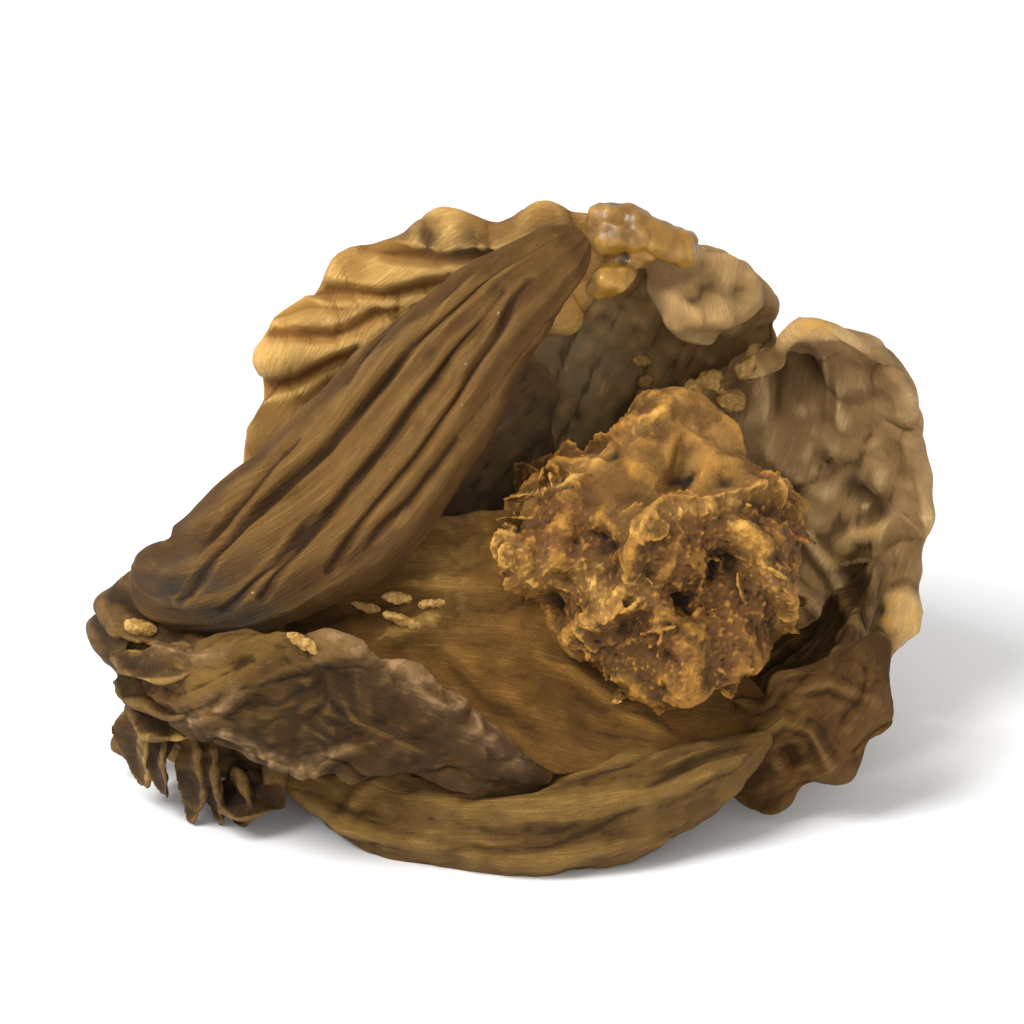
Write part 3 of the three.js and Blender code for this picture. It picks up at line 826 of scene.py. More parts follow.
def finish_lump(piece, node, height, pale_and_highlight=(), stain=()):
    """Adds the last fine relief, stores what the finish reads, and puts the piece in the node's place."""
    mesh = piece.data
    place = points_of(mesh) / MM + MIDDLE
    place = on_floor(place + normals_of(mesh) * height(place)[:, None])
    put_points(mesh, metres(place))
    store(mesh, "grain", place, "FLOAT_VECTOR")
    store(mesh, "margin", np.zeros(len(place)))
    store(mesh, "pale_and_highlight", draw_marks(place, pale_and_highlight))
    store(mesh, "stain", draw_marks(place, stain))
    store_relief(piece, small=(5, 0.05), broad=(80, 0.22))
    select_only(piece)
    bpy.ops.object.shade_smooth()
    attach(piece, "root")
    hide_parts(node)
    print(piece.name, len(mesh.polygons), "faces")


def small_form(name):
    """An icosphere of radius 1, the pattern for flakes and crumbs."""
    bpy.ops.object.select_all(action="DESELECT")
    bpy.ops.mesh.primitive_ico_sphere_add(subdivisions=2, radius=1)
    bpy.context.object.name = name
    return bpy.context.object


def drop(pattern):
    """Removes a pattern that has been copied."""
    bpy.data.objects.remove(pattern)


# %% [markdown]
# ## The broken heart
# The heart of the bulb is a broken chunk of young scales, pressed together and crumbling. Its ridges and
# hollows are drawn, and one smooth facet is marked. Several hundred thin flakes are set into it at random
# angles, as torn tissue, and everything is fused into one skin, so that they grow out of the chunk.

# %% The broken heart
CORE_SEED = 5
FLAKES = 520
BIG_FLAKES = 130
CORE_FACE = 0.1
CORE_FOLDS = [
    (1.3, -0.8, False, [(2.0, 12.2), (-0.2, 10.2), (-1.2, 8.8)]),
    (0.35, 0.4, True, [(6.2, 13.5), (4.5, 12.5), (3.0, 11.2), (0.8, 10.0), (-0.8, 8.0)]),
    (0.5, 0.6, True, [(6.0, 13.8), (7.5, 12.5), (8.8, 10.8)]),
    (1.4, -0.9, False, [(5.5, 11.2), (6.8, 10.5)]),
    (1.0, -0.6, False, [(2.8, 11.5), (1.2, 10.5)]),
    (0.6, 1.0, True, [(4.2, 8.0), (5.5, 9.2), (7.2, 9.4), (8.8, 10.0), (10.2, 10.4)]),
    (0.7, 0.8, True, [(4.8, 8.5), (4.2, 7.0), (3.5, 5.5), (1.8, 4.5)]),
    (0.5, 0.8, True, [(8.2, 9.0), (9.0, 7.8), (9.8, 6.0), (10.2, 5.5), (10.5, 4.0)]),
    (0.9, -0.9, False, [(2.5, 8.8), (3.5, 7.5)]),
    (0.8, -0.8, False, [(6.0, 6.0), (7.2, 5.8)]),
    (0.8, -0.7, False, [(0.8, 5.5), (2.2, 6.5)]),
    (0.8, -0.6, False, [(7.5, 8.0), (8.0, 6.5)]),
    (0.5, 0.7, True, [(0.8, 3.8), (2.5, 3.0), (4.0, 2.0)]),
    (0.9, 0.4, False, [(5.5, 3.5), (7.5, 2.5), (9.2, 3.5)]),
    (0.7, 0.6, False, [(-0.2, 8.0), (0.8, 7.0)]),
]
CORE_PALE = [
    (0.8, [(-0.5, 8.2), (0.2, 7.2), (1.2, 6.8)]),
    (0.7, [(2.5, 6.8), (3.5, 6.0), (4.5, 6.2)]),
    (0.35, [(6.2, 13.5), (3.0, 11.2), (0.8, 10.0), (-0.8, 8.0)]),
    (0.5, [(4.5, 8.5), (5.5, 9.2), (7.2, 9.5), (10.0, 10.2)]),
    (0.5, [(8.2, 8.8), (9.0, 7.8), (9.8, 6.0), (10.5, 4.0)]),
    (0.35, [(1.8, 4.5), (3.5, 5.5)]),
    (0.3, [(1.0, 3.8), (3.8, 2.0)]),
]
CORE_FACET = [(6.2, 13.0), (7.5, 11.2), (5.5, 11.0), (3.8, 10.5)]

# %% [markdown]
# ## The chunk and its flakes
# The drawn ridges and hollows go on first. Then flakes are thrown at the chunk from its middle, in random
# directions from a fixed seed. More of them stay where the tissue is torn, and hardly any on the facet.

# %% The chunk
core = add_lump("broken_core_crumb", CORE, 40, 30)
place = points_of(core.data) / MM + MIDDLE
normals = normals_of(core.data)
facet = draw_marks(place, [(2.3, CORE_FACET)])
lift = draw_folds(place, normals, CORE_FOLDS) + 0.4 * rough(place, 1.8, 3.0, 2)
lift += 0.3 * creased(place, 1.5, 7.0) * (1 - facet)
place = place + normals * lift[:, None]
put_points(core.data, metres(place))
print("chunk:", len(place), "points")

# %% The flakes
dice = np.random.default_rng(CORE_SEED)
flake = small_form("flake")
loose = draw_marks(place, CORE_PALE)
chance = (0.5 + loose) * np.maximum(0, 1 - 1.4 * facet) / 1.5
outward = place - CORE["centre"]
outward /= np.linalg.norm(outward, axis=1)[:, None]
settings = []
while len(settings) < FLAKES + BIG_FLAKES:
    i = np.argmax(outward @ dice.normal(size=3))
    if dice.uniform() > chance[i]:
        continue
    turn = np.array(Euler(dice.uniform(0, math.tau, 3)).to_matrix())
    size = np.array([dice.uniform(0.2, 0.5), dice.uniform(0.12, 0.3), dice.uniform(0.05, 0.1)])
    if len(settings) < BIG_FLAKES:
        size = np.array([dice.uniform(0.6, 1.3), dice.uniform(0.3, 0.8), dice.uniform(0.07, 0.13)])
    size = size * (0.8 + 0.4 * loose[i])
    spot = place[i] + normals[i] * dice.uniform(-0.22, 0.06)
    settings.append((turn * size * MM, metres(spot)))
fuse(core, [copies("flakes", flake, settings)], CORE_FACE)
drop(flake)


def crumbly(p):
    """Fine height of the broken tissue, in millimetres, nearly none on the facet."""
    height = 0.07 * rough(p, 0.5, 11.0) + 0.05 * creased(p, 0.24, 13.0)
    return height * (1 - 0.8 * draw_marks(p, [(1.7, CORE_FACET)]))


finish_lump(core, "broken_core", crumbly, CORE_PALE, [(1.5, CORE_FACET)])

# %% [markdown]
# ## The basal plate
# The plate is the short stem that all scales grew from. It is drawn up into shelves and folds, stubs of
# broken roots hang from it, and the torn bases of lost scales stand out from it as small bracts.

# %% The basal plate
ROOTS = {"axis": [-0.15, -0.35, -0.92], "out": 2.9, "count": 9, "length": 2.6, "thick": 0.75, "thin": 0.5,
         "spread": 3.9, "splay": 0.35}
THREADS = 14
SUNFLOWER = 2.4
PLATE_FACE = 0.112
BRACTS = [
    ([0, -0.5, 0.85], [[-15.2, -4.6, 6.2], [-14.0, -6.8, 6.7], [-12.5, -7.9, 7.0], [-10.8, -8.8, 7.8]],
     [0.6, 1.1, 1.2, 0.6]),
    ([0, -0.5, 0.85], [[-15.0, -4.8, 5.3], [-13.8, -6.6, 5.4], [-12.2, -7.9, 5.5], [-10.2, -9.3, 6.7]],
     [0.6, 1.2, 1.1, 0.4]),
    ([0, -0.5, 0.85], [[-14.5, -5.2, 4.1], [-13.2, -6.8, 4.2], [-11.8, -8.0, 4.3]], [0.6, 1.1, 0.5]),
    ([-0.8, -0.55, 0.1], [[-14.1, -5.0, 4.6], [-14.2, -5.4, 3.1], [-13.9, -5.0, 0.8]], [0.8, 1.2, 0.8]),
    ([-0.8, -0.55, 0.1], [[-13.2, -6.2, 4.5], [-13.4, -6.4, 3.0], [-13.1, -6.0, 0.9]], [0.8, 1.1, 0.7]),
    ([-0.8, -0.55, 0.1], [[-12.2, -6.8, 4.0], [-12.0, -7.0, 2.4], [-12.2, -6.4, 0.0]], [0.7, 1.0, 0.6]),
    ([-0.8, -0.55, 0.1], [[-11.4, -7.2, 3.6], [-11.5, -7.2, 2.0], [-11.1, -6.6, 0.1]], [0.7, 1.0, 0.6]),
    ([0, -0.5, 0.85], [[-11.5, -6.6, 1.7], [-10.0, -7.2, 1.4], [-8.5, -7.2, 1.2]], [0.7, 1.3, 0.7]),
    ([-0.8, -0.55, 0.1], [[-10.5, -7.2, 2.8], [-10.2, -7.0, 1.3], [-10.5, -6.4, -0.3]], [0.6, 0.9, 0.5]),
]
PLATE_FOLDS = [
    (0.5, 0.5, True, [(-15.0, 4.5), (-13.0, 4.0), (-10.8, 3.5)]),
    (0.5, 0.5, True, [(-14.8, 3.0), (-12.8, 3.2), (-10.5, 2.5)]),
    (0.7, -0.5, False, [(-15.0, 3.8), (-12.5, 3.5)]),
    (0.5, 0.45, True, [(-14.2, 1.8), (-13.0, 2.2), (-11.0, 1.5)]),
    (0.5, 0.5, True, [(-14.0, 1.0), (-14.0, -1.0)]),
    (0.5, 0.4, True, [(-12.8, 0.8), (-13.0, -1.0)]),
    (0.6, -0.5, False, [(-13.2, 0.5), (-13.5, -1.2)]),
]
# Darker along the far left edge, and painted shade beside the long scale's heel and on the underside.
PLATE_DARK_EDGE_AND_SHADE = [
    (1.4, [(-15.8, 6.0), (-16.0, 4.5), (-15.5, 3.0)]),
    (1.5, [(-13.8, -0.2), (-12.0, -1.0), (-10.0, -2.0)]),
    (1.2, [(-13.5, 6.5), (-12.0, 5.8)]),
]
PLATE_PALE = [
    (0.5, [(-14.8, 4.2), (-12.8, 4.0), (-10.8, 3.6)]),
    (0.35, [(-14.2, 2.8), (-12.5, 3.0)]),
    (0.3, [(-14.0, 1.0), (-14.0, -0.8)]),
    (0.3, [(-12.5, 1.2), (-13.0, -0.5)]),
]

# %% [markdown]
# ## The plate, its bracts and its roots
# The shelves are drawn on the lump. Each bract is a small cupped leaf along a spine of three or four
# points, so the function that lays out the scales makes the bracts too. The root stubs are one cone,
# copied: thick ones in a sunflower spiral, as in the construction model, and thin threads between them.

# %% The plate
plate = add_lump("basal_plate_skin", PLATE, 40, 30)
place = points_of(plate.data) / MM + MIDDLE
normals = normals_of(plate.data)
lift = draw_folds(place, normals, PLATE_FOLDS) + 0.75 * creased(place, (3.4, 3.4, 1.2), 23.0)
put_points(plate.data, metres(place + normals * lift[:, None]))
print("plate:", len(place), "points")

# %% The bracts
bracts = []
for i, (facing, spine, widths) in enumerate(BRACTS):
    bract, ball = fine_ball("bract", 10, 12)
    leaf = {"spine": spine, "widths": widths, "facing": facing, "thickness": [0.3, 0.22, 0.16],
            "blunt": 0.35, "cup": 0.8, "crumple": 0.25, "crumple_size": 0.7}
    torn = lay_along_spine(ball, leaf)[0]
    put_points(bract.data, metres(torn + 0.1 * rough(torn, 1.6, i, 2)[:, None]))
    bracts.append(bract)
print("bracts:", len(bracts))

# %% The root stubs
bpy.ops.object.select_all(action="DESELECT")
bpy.ops.mesh.primitive_cone_add(vertices=12, radius1=1, radius2=0.65, depth=2)
stub = bpy.context.object
bpy.ops.object.mode_set(mode="EDIT")
bpy.ops.mesh.select_all(action="SELECT")
bpy.ops.mesh.quads_convert_to_tris()
bpy.ops.object.mode_set(mode="OBJECT")
out = np.array(ROOTS["axis"]) / np.linalg.norm(ROOTS["axis"])
sideways = np.cross([0, 1, 0], out)
sideways /= np.linalg.norm(sideways)
upward = np.cross(out, sideways)
base = np.array(PLATE["centre"]) + out * ROOTS["out"]
settings = []
for i in range(ROOTS["count"] + THREADS):
    whole = i < ROOTS["count"]
    turn = i * SUNFLOWER
    share = (i + 0.5) / ROOTS["count"] if whole else dice.uniform(0.1, 0.85)
    reach = ROOTS["spread"] * math.sqrt(share)
    lean = out + ROOTS["splay"] * (sideways * math.cos(turn) + upward * math.sin(turn))
    if not whole:
        lean = lean + dice.uniform(-0.5, 0.5, 3)
    thick = ROOTS["thick"] if whole else dice.uniform(0.14, 0.4)
    long = ROOTS["length"] if whole else dice.uniform(1.6, 3.2)
    spot = base + reach * (sideways * math.cos(turn) + upward * math.sin(turn))
    settings.append((turned_to(lean) * [thick * MM, thick * MM, long / 2 * MM], metres(spot)))
fuse(plate, bracts + [copies("roots", stub, settings)], PLATE_FACE)
drop(stub)


def shelved(p):
    """Fine height of the plate, in millimetres, in flat layers."""
    return 0.08 * rough(p, 1.2, 17.0, 2) + 0.07 * creased(p, (1.1, 1.1, 0.6), 19.0)


finish_lump(plate, "basal_plate", shelved, PLATE_PALE, PLATE_DARK_EDGE_AND_SHADE)

# %% [markdown]
# ## The tip of the back scale
# The back scale ends in a hard, glossy knob of a few lobes, with a smaller bead just below it. Each lobe is
# a squashed ball, and the fusing leaves the soft necks between them.

# %% The tip of the back scale
LOBES = [
    ([4.0, 1.1, 21.0], [1.5, 1.25, 1.15], [0, 0.2, 0]),
    ([5.3, 1.1, 20.75], [1.35, 1.0, 0.75], [0, 0.45, 0]),
    ([6.2, 1.2, 20.4], [0.8, 0.9, 0.7], [0, 0.7, 0]),
    ([4.4, 0.9, 20.3], [1.2, 0.9, 0.7], [0, 0.1, 0]),
    ([3.9, 0.7, 19.9], [0.7, 0.6, 0.5], [0, 0, 0]),
]
BEAD = ([3.6, 0.1, 19.5], [1.1, 0.8, 0.62], [0, -0.5, 0])
KNOB_FACE = 0.07

lobe = small_form("lobe")
settings = []
for spot, size, lean in LOBES + [BEAD]:
    settings.append((np.array(Euler(lean).to_matrix()) * np.array(size) * MM, metres(spot)))
knob = copies("tip_knob", lobe, settings)
drop(lobe)
fuse(knob, [], KNOB_FACE)


def knobbly(p):
    """Fine height of the knob, in millimetres."""
    return 0.24 * rough(p, 1.2, 29.0, 2) + 0.02 * creased(p, 0.5, 31.0)


finish_lump(knob, "back_scale", knobbly)


# %% [markdown]
# ## Crumbs
# A few pale crumbs of dry tissue have stayed where they fell. Each is set down where the eye meets the
# skin of its scale.

# %% Crumbs
WELL_OUTSIDE = 60


def touch(piece, u, v):
    """The point of a piece's skin that is seen at u and v, in millimetres from the stem."""
    start = np.array([u, 0, 0]) + SEEN_UP * v + TO_EYE * WELL_OUTSIDE
    hit, spot, _, _ = piece.ray_cast(Vector(metres(start)), Vector(-TO_EYE))
    return np.array(spot) / MM + MIDDLE if hit else None


# Each row: the scale, u, v, half the length, half the height, and the lean in radians.
CRUMBS = [
    (plate, -14.0, 4.9, 0.7, 0.3, 0.15),
    (cradle_scale, -5.5, 5.6, 0.8, 0.2, 0.35),
    (cradle_scale, -4.4, 6.0, 0.7, 0.22, 0.1),
    (cradle_scale, -3.1, 5.8, 0.55, 0.2, -0.15),
    (cradle_scale, -4.0, 5.1, 1.1, 0.22, 0.4),
    (front_flap, -7.9, 4.4, 0.7, 0.24, 0.5),
    (front_flap, -7.5, 4.2, 0.6, 0.2, 0.75),
    (upper_scale, 4.8, 15.0, 0.35, 0.25, 0.2),
    (upper_scale, 5.0, 14.2, 0.35, 0.3, 0.0),
    (hood_scale, 6.8, 13.9, 0.45, 0.4, 0.0),
    (hood_scale, 7.5, 14.2, 0.6, 0.5, 0.2),
    (hood_scale, 8.2, 13.5, 0.6, 0.5, 0.0),
    (hood_scale, 8.8, 14.7, 0.55, 0.4, -0.8),
]

CRUMB_FACE = 0.06

crumb = small_form("crumb")
settings = []
for piece, u, v, wide, high, lean in CRUMBS:
    spot = touch(piece, u, v)
    if spot is None:
        print("no skin of", piece.name, "at", u, v)
        continue
    turn = np.array(Euler((0, lean, 0)).to_matrix())
    settings.append((turn * np.array([wide, high, high]) * MM, metres(spot + TO_EYE * 0.3 * high)))
crumbs = copies("pale_crumbs", crumb, settings)
drop(crumb)
fuse(crumbs, [], CRUMB_FACE)
mesh = crumbs.data
place = points_of(mesh) / MM + MIDDLE
place = place + normals_of(mesh) * (0.1 * rough(place, 0.5, 37.0))[:, None]
put_points(mesh, metres(place))
store(mesh, "grain", place, "FLOAT_VECTOR")
store(mesh, "margin", np.zeros(len(place)))
store(mesh, "pale_and_highlight", np.ones(len(place)))
store(mesh, "stain", np.zeros(len(place)))
store_relief(crumbs, small=(4, 0.04), broad=(30, 0.2))
select_only(crumbs)
bpy.ops.object.shade_smooth()
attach(crumbs, "root")


# %% [markdown]
# ## Nodes by hand
# Materials are built from nodes, and a few small helpers keep that short. They add a node and set or link
# its sockets, do sums, stretch values, mix colours, and turn a colour as seen on a screen into the linear
# values that Blender mixes.

# %% Nodes by hand
def paint(code):
    """A colour such as 8c6a3e, as linear red, green, blue and alpha."""
    parts = [int(code[i:i + 2], 16) / 255 for i in (0, 2, 4)]
    return [((c + 0.055) / 1.055) ** 2.4 if c > 0.04045 else c / 12.92 for c in parts] + [1.0]


def put(tree, kind, sockets=None, **settings):
    """A new node with its settings; each named socket gets a value or a link."""
    made = tree.nodes.new(kind)
    for name, value in settings.items():
        setattr(made, name, value)
    for name, value in (sockets or {}).items():
        socket = made.inputs[name]
        if isinstance(value, bpy.types.NodeSocket):
            tree.links.new(value, socket)
        else:
            socket.default_value = value
    return made


def new_group(name, inputs, output):
    """A node group with named inputs and one number as its output, and its two end nodes."""
    group = bpy.data.node_groups.new(name, "ShaderNodeTree")
    for label, kind in inputs.items():
        group.interface.new_socket(name=label, in_out="INPUT", socket_type="NodeSocket" + kind)
    group.interface.new_socket(name=output, in_out="OUTPUT", socket_type="NodeSocketFloat")
    return group, group.nodes.new("NodeGroupInput"), group.nodes.new("NodeGroupOutput")


def math_node(tree, operation, a, b=0.5, clamp=False):
    node = tree.nodes.new("ShaderNodeMath")
    node.operation = operation
    node.use_clamp = clamp
    for socket, value in zip(node.inputs, (a, b)):
        if isinstance(value, bpy.types.NodeSocket):
            tree.links.new(value, socket)
        else:
            socket.default_value = value
    return node.outputs[0]


def spread(tree, value, low, high):
    """Stretches the stretch from low to high over 0 to 1, smoothly."""
    sockets = {"Value": value, "From Min": low, "From Max": high}
    return put(tree, "ShaderNodeMapRange", sockets, interpolation_type="SMOOTHSTEP").outputs["Result"]


def blend_colour(tree, amount, under, over):
    """The colour over laid on the colour under, by an amount from 0 to 1."""
    node = tree.nodes.new("ShaderNodeMix")
    node.data_type = "RGBA"
    tree.links.new(amount, node.inputs[0])
    for index, value in ((6, under), (7, over)):
        if isinstance(value, bpy.types.NodeSocket):
            tree.links.new(value, node.inputs[index])
        else:
            node.inputs[index].default_value = value
    return node.outputs[2]


# %% [markdown]
# ## Fibres, blotches and flecks
# Three effects are shared by every skin. Fibres are fine threads along the scale, read from the stored
# grain. Blotches are soft patches of another tone. Flecks are small pale chips of dry tissue.

# %% Fibres
fibres, ask, give = new_group("fibres", {"Grain": "Vector", "Threads": "Float", "Run": "Float"}, "Fibres")
across_scale = put(fibres, "ShaderNodeCombineXYZ", {"X": ask.outputs["Threads"], "Y": ask.outputs["Run"],
                                                    "Z": ask.outputs["Threads"]})
stretched = put(fibres, "ShaderNodeVectorMath", {0: ask.outputs["Grain"], 1: across_scale.outputs[0]},
                operation="MULTIPLY")
threads = put(fibres, "ShaderNodeTexNoise", {"Vector": stretched.outputs[0], "Scale": 1.0, "Detail": 5.0,
                                             "Roughness": 0.82})
fibres.links.new(spread(fibres, threads.outputs["Fac"], 0.3, 0.7), give.inputs["Fibres"])

# %% Blotches
blotches, ask, give = new_group(
    "blotches", {"Place": "Vector", "Scale": "Float", "Edge": "Float"}, "Blotches")
cloud = put(blotches, "ShaderNodeTexNoise", {"Vector": ask.outputs["Place"], "Scale": ask.outputs["Scale"],
                                             "Detail": 5.0, "Roughness": 0.6, "Distortion": 0.6})
low_edge = math_node(blotches, "SUBTRACT", 0.5, ask.outputs["Edge"])
high_edge = math_node(blotches, "ADD", 0.5, ask.outputs["Edge"])
blotches.links.new(spread(blotches, cloud.outputs["Fac"], low_edge, high_edge), give.inputs["Blotches"])

# %% Flecks
flecks, ask, give = new_group("flecks", {"Place": "Vector", "Scale": "Float", "Amount": "Float"}, "Flecks")
chips = put(flecks, "ShaderNodeTexNoise", {"Vector": ask.outputs["Place"], "Scale": ask.outputs["Scale"],
                                           "Detail": 3.0, "Roughness": 0.7})
chip_edge = math_node(flecks, "SUBTRACT", 0.8, ask.outputs["Amount"])
chip_full = math_node(flecks, "ADD", chip_edge, 0.07)
flecks.links.new(spread(flecks, chips.outputs["Fac"], chip_edge, chip_full), give.inputs["Flecks"])


# %% [markdown]
# ## The skin
# The skin is lightest on the ridges, where it is worn and dusty and a highlight is painted, and darkest in
# the creases, where shade is painted. So a finish is laid on as a painter would: body and blotches, stains
# and painted shade, worn ridges with a painted highlight, dark threads, painted shade in the creases, pale
# chips, and last the pale worn edges and painted highlights that were drawn. The values in COMMON hold
# wherever a scale has none of its own.

# %% The skin
def attribute(tree, name, output="Fac"):
    return put(tree, "ShaderNodeAttribute", attribute_name=name).outputs[output]


# depth is how strongly painted shade darkens the creases and hollows. fleck is the colour of pale chips and
# of the drawn pale marks, painted highlights among them. The stain colour goes on the drawn patches: real
# stains on some scales, painted shade and painted light on others.
COMMON = {
    "fleck": "d9c08a", "stain": "3f3322", "roughness": 0.68, "shine": 0.2, "fleck_amount": 0.09,
    "blotch_scale": 320.0, "threads": 10.0, "run": 0.35, "relief": 0.00005, "dark": 0.16, "depth": 0.7,
}
BLOTCH_EDGE = 0.12
CHIP_SCALE = 2600.0
WORN_THROUGH_SCALE = 1700.0
GRIT_SCALE = 5200.0


def effect(tree, group, **sockets):
    """A shared effect, with each named socket given a value or a link."""
    node = put(tree, "ShaderNodeGroup", node_tree=group)
    for label, value in sockets.items():
        if isinstance(value, bpy.types.NodeSocket):
            tree.links.new(value, node.inputs[label])
        else:
            node.inputs[label].default_value = value
    return node.outputs[0]


def ground_colour(tree, look, patch):
    """The body with its blotches, and the patches drawn on it: real stains on some scales, painted shade and
    painted light on others.
    """
    colour = blend_colour(tree, patch, paint(look["body"]), paint(look["blotch"]))
    stain_and_shade_amount = math_node(tree, "MULTIPLY", attribute(tree, "stain"), spread(tree, patch, 1.6, -0.3))
    return blend_colour(tree, stain_and_shade_amount, colour, paint(look["stain"]))


def relief_wear_and_shade_colour(tree, look, colour, fibre, fold, form):
    """Lighter on the ridges, worn and dusty with a painted highlight; darker in the dark threads, and with
    painted shade in the creases.
    """
    # Worn and dusty ridges with a painted highlight: what stands out goes towards the ridge colour.
    raised = math_node(tree, "MAXIMUM", spread(tree, fold, 0.5, 0.95), spread(tree, form, 0.5, 1.0))
    threaded = math_node(tree, "MULTIPLY_ADD", fibre, 0.6)
    threaded.node.inputs[2].default_value = 0.4
    wear_and_highlight = math_node(tree, "MULTIPLY", raised, threaded)
    colour = blend_colour(tree, wear_and_highlight, colour, paint(look["ridge"]))
    gaps = math_node(tree, "MULTIPLY", math_node(tree, "SUBTRACT", 1.0, fibre), look["dark"])
    colour = blend_colour(tree, gaps, colour, paint(look["thread_and_shade"]))
    # Painted shade: the deepest folds and hollows go towards the crease colour, as far as depth allows.
    painted_shade = math_node(tree, "MAXIMUM", spread(tree, fold, 0.42, 0.0), spread(tree, form, 0.4, 0.0))
    painted_shade = math_node(tree, "MULTIPLY", painted_shade, look["depth"])
    return blend_colour(tree, painted_shade, colour, paint(look["thread_and_shade"]))


def worn_and_highlight_colour(tree, look, colour, place, fold):
    """Pale chips on what stands out, and the pale edges that were drawn, broken up by noise: worn edges on
    some scales, painted highlights and a painted glow of light on the flap and the cradle.
    """
    chip = effect(tree, flecks, Place=place, Scale=CHIP_SCALE, Amount=look["fleck_amount"])
    chipped = math_node(tree, "MULTIPLY", chip, spread(tree, fold, 0.4, 0.7))
    colour = blend_colour(tree, chipped, colour, paint(look["fleck"]))
    cloud = put(tree, "ShaderNodeTexNoise", {"Vector": place, "Scale": WORN_THROUGH_SCALE}).outputs["Fac"]
    broken = math_node(tree, "MAXIMUM", spread(tree, cloud, 0.4, 0.65), 0.4)
    standing = math_node(tree, "MAXIMUM", spread(tree, fold, 0.35, 0.85), 0.35)
    lit = math_node(tree, "MULTIPLY", attribute(tree, "pale_and_highlight"), standing)
    return blend_colour(tree, math_node(tree, "MULTIPLY", lit, broken), colour, paint(look["fleck"]))


# %% [markdown]
# ## A finish put together
# The layers end in one colour. The threads also make the skin a little duller or glossier, and with a fine
# grit they raise it by a few hundredths of a millimetre, too little to be worth modelling.

# %% A finish put together
def skin(name, body, ridge, thread_and_shade, blotch, **own):
    """A finish: four colours (body; ridges, worn with a painted highlight; dark threads and painted shade in
    the creases; blotches), and whatever differs from the common values.
    """
    look = {**COMMON, "body": body, "ridge": ridge, "thread_and_shade": thread_and_shade, "blotch": blotch, **own}
    material = bpy.data.materials.new(name)
    material.use_nodes = True
    tree = material.node_tree
    shader = tree.nodes["Principled BSDF"]
    place = put(tree, "ShaderNodeTexCoord").outputs["Object"]
    fold = attribute(tree, "fold")
    form = attribute(tree, "form")
    grain = attribute(tree, "grain", "Vector")
    fibre = effect(tree, fibres, Grain=grain, Threads=look["threads"], Run=look["run"])
    patch = effect(tree, blotches, Place=place, Scale=look["blotch_scale"], Edge=BLOTCH_EDGE)
    colour = ground_colour(tree, look, patch)
    colour = relief_wear_and_shade_colour(tree, look, colour, fibre, fold, form)
    colour = worn_and_highlight_colour(tree, look, colour, place, fold)
    tree.links.new(colour, shader.inputs["Base Color"])
    limits = {"Value": fibre, "To Min": look["roughness"] + 0.1, "To Max": look["roughness"] - 0.1}
    gloss = put(tree, "ShaderNodeMapRange", limits)
    tree.links.new(gloss.outputs[0], shader.inputs["Roughness"])
    grit = put(tree, "ShaderNodeTexNoise", {"Vector": place, "Scale": GRIT_SCALE, "Detail": 3.0})
    height = math_node(tree, "ADD", fibre, math_node(tree, "MULTIPLY", grit.outputs["Fac"], 0.6))
    bump = put(tree, "ShaderNodeBump", {"Height": height, "Distance": look["relief"], "Strength": 1.0})
    tree.links.new(bump.outputs[0], shader.inputs["Normal"])
    shader.inputs["Specular IOR Level"].default_value = look["shine"]
    return material


def wear(piece, material):
    piece.data.materials.clear()
    piece.data.materials.append(material)


# %% [markdown]
# ## Skins of the scales
# Each scale gets its own mix, as no two scales of a bulb have dried alike. The four colours are the body,
# the ridges, which are worn and carry a painted highlight, the dark threads and painted shade of the
# creases, and the blotches. They were set by comparing test renders with the real tones.

# %% Skins of the scales
wear(long_scale, skin("long_scale_finish", "69491e", "84612f", "221304", "583b17", stain="37322a"))
wear(back_scale, skin(
    "back_scale_finish", "c3914b", "e6b768", "75491d", "a87b3c", roughness=0.55, dark=0.1))
wear(inner_scale, skin("inner_scale_finish", "5f472a", "755a34", "22180c", "4a3720"))
wear(upper_scale, skin(
    "upper_scale_finish", "ae8854", "d2a668", "5c4526", "9a7a4b", dark=0.1, stain="b39d76"))
wear(hood_scale, skin(
    "hood_scale_finish", "b58e5a", "dab47c", "46331a", "947247", fleck="d9a552", dark=0.1,
    stain="4f3c20"))
wear(cradle_scale, skin(
    "cradle_scale_finish", "745020", "956a2c", "3a250a", "604014", roughness=0.5, fleck="b48f4e"))
wear(front_flap, skin(
    "front_flap_finish", "4b3212", "725324", "1d1104", "39270e", fleck="a07c54", stain="8e6a30"))
wear(lower_front_scale, skin("lower_front_finish", "6d5023", "8f6c33", "291905", "5a3f19"))
wear(fringe_scale, skin("fringe_scale_finish", "654518", "7d5c2c", "281905", "4c300e"))
wear(under_scale, skin("under_scale_finish", "664723", "8c6836", "28190d", "51371a", fleck="a8834c"))
wear(outer_back_scale, skin("outer_back_finish", "6e4e22", "946e35", "2f1e0a", "583c18"))
wear(lower_back_scale, skin("lower_back_finish", "66471e", "8a6532", "2b1d0d", "503616"))
wear(core, skin(
    "core_finish", "6c4620", "c08838", "160c04", "553814", depth=0.95, fleck="dda855", threads=2.0,
    run=2.0, stain="a67a3b", fleck_amount=0.015, blotch_scale=500.0))
wear(plate, skin(
    "plate_finish", "4e3617", "7a5a2d", "140d05", "37250e", fleck="b08848", stain="2c1e0e", threads=1.6,
    run=0.6))
wear(knob, skin(
    "knob_finish", "8b6222", "b88a36", "2c1c08", "6b4816", depth=1.0, roughness=0.36, shine=0.45,
    threads=1.0, run=1.0, relief=0.00001, fleck_amount=0.0, blotch_scale=700.0))
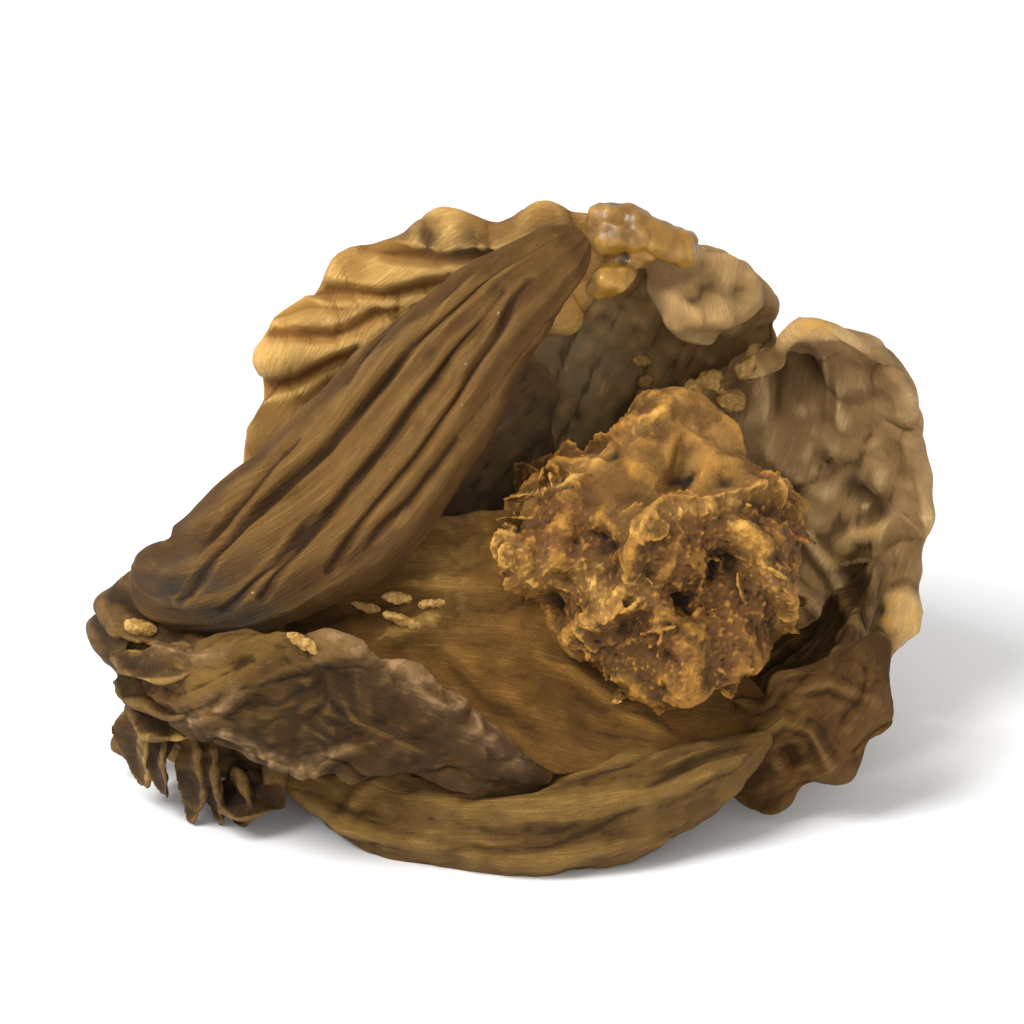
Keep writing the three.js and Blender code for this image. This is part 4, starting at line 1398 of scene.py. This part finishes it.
wear(crumbs, skin(
    "crumb_finish", "987138", "ba9251", "69451b", "85602b", fleck="c69e5b", threads=1.0, run=1.0))

# %% [markdown]
# ## Stage
# The bulb lies on a pale floor under two soft lamps. The stronger one stands above on the left, a little to
# the front, and the weaker one fills the shadows from the front. A long lens looks down at the bulb from
# the angle that the folds were drawn for, so they are seen as they were drawn.

# %% The floor
FLOOR_GREY = (0.9, 0.9, 0.9, 1)

bpy.ops.object.select_all(action="DESELECT")
bpy.ops.mesh.primitive_plane_add(size=4)
floor = bpy.context.object
floor.name = "floor"
paper = bpy.data.materials.new("paper")
paper.use_nodes = True
shader = paper.node_tree.nodes["Principled BSDF"]
shader.inputs["Base Color"].default_value = FLOOR_GREY
shader.inputs["Roughness"].default_value = 0.9
floor.data.materials.append(paper)
print("floor:", floor.name)

# %% The camera
LENS = 400
DISTANCE = 0.43
AIM = Vector((0, 0, 0.0102))

camera_data = bpy.data.cameras.new("camera")
camera_data.lens = LENS
camera_data.clip_start = 0.01
camera = bpy.data.objects.new("camera", camera_data)
bpy.context.collection.objects.link(camera)
camera.location = AIM + Vector(TO_EYE) * DISTANCE
camera.rotation_euler = (AIM - camera.location).to_track_quat("-Z", "Y").to_euler()
bpy.context.scene.camera = camera
print("camera at", [round(v, 3) for v in camera.location])


# %% The lamps
SKY = 0.75


def lamp(name, place, size, power):
    data = bpy.data.lights.new(name, "AREA")
    data.size = size
    data.energy = power
    light = bpy.data.objects.new(name, data)
    light.location = place
    light.rotation_euler = (AIM - Vector(place)).to_track_quat("-Z", "Y").to_euler()
    bpy.context.collection.objects.link(light)
    print(name, power, "W")


# Places and sizes are in metres, powers in watts.
lamp("key_lamp", place=(-0.16, -0.14, 0.26), size=0.16, power=1.1)
lamp("fill_lamp", place=(0.06, -0.4, 0.12), size=0.2, power=0.42)
world = bpy.data.worlds.new("studio")
world.use_nodes = True
sky = world.node_tree.nodes["Background"]
sky.inputs["Color"].default_value = (1, 1, 1, 1)
sky.inputs["Strength"].default_value = SKY
bpy.context.scene.world = world
bpy.context.scene.view_settings.view_transform = "Standard"
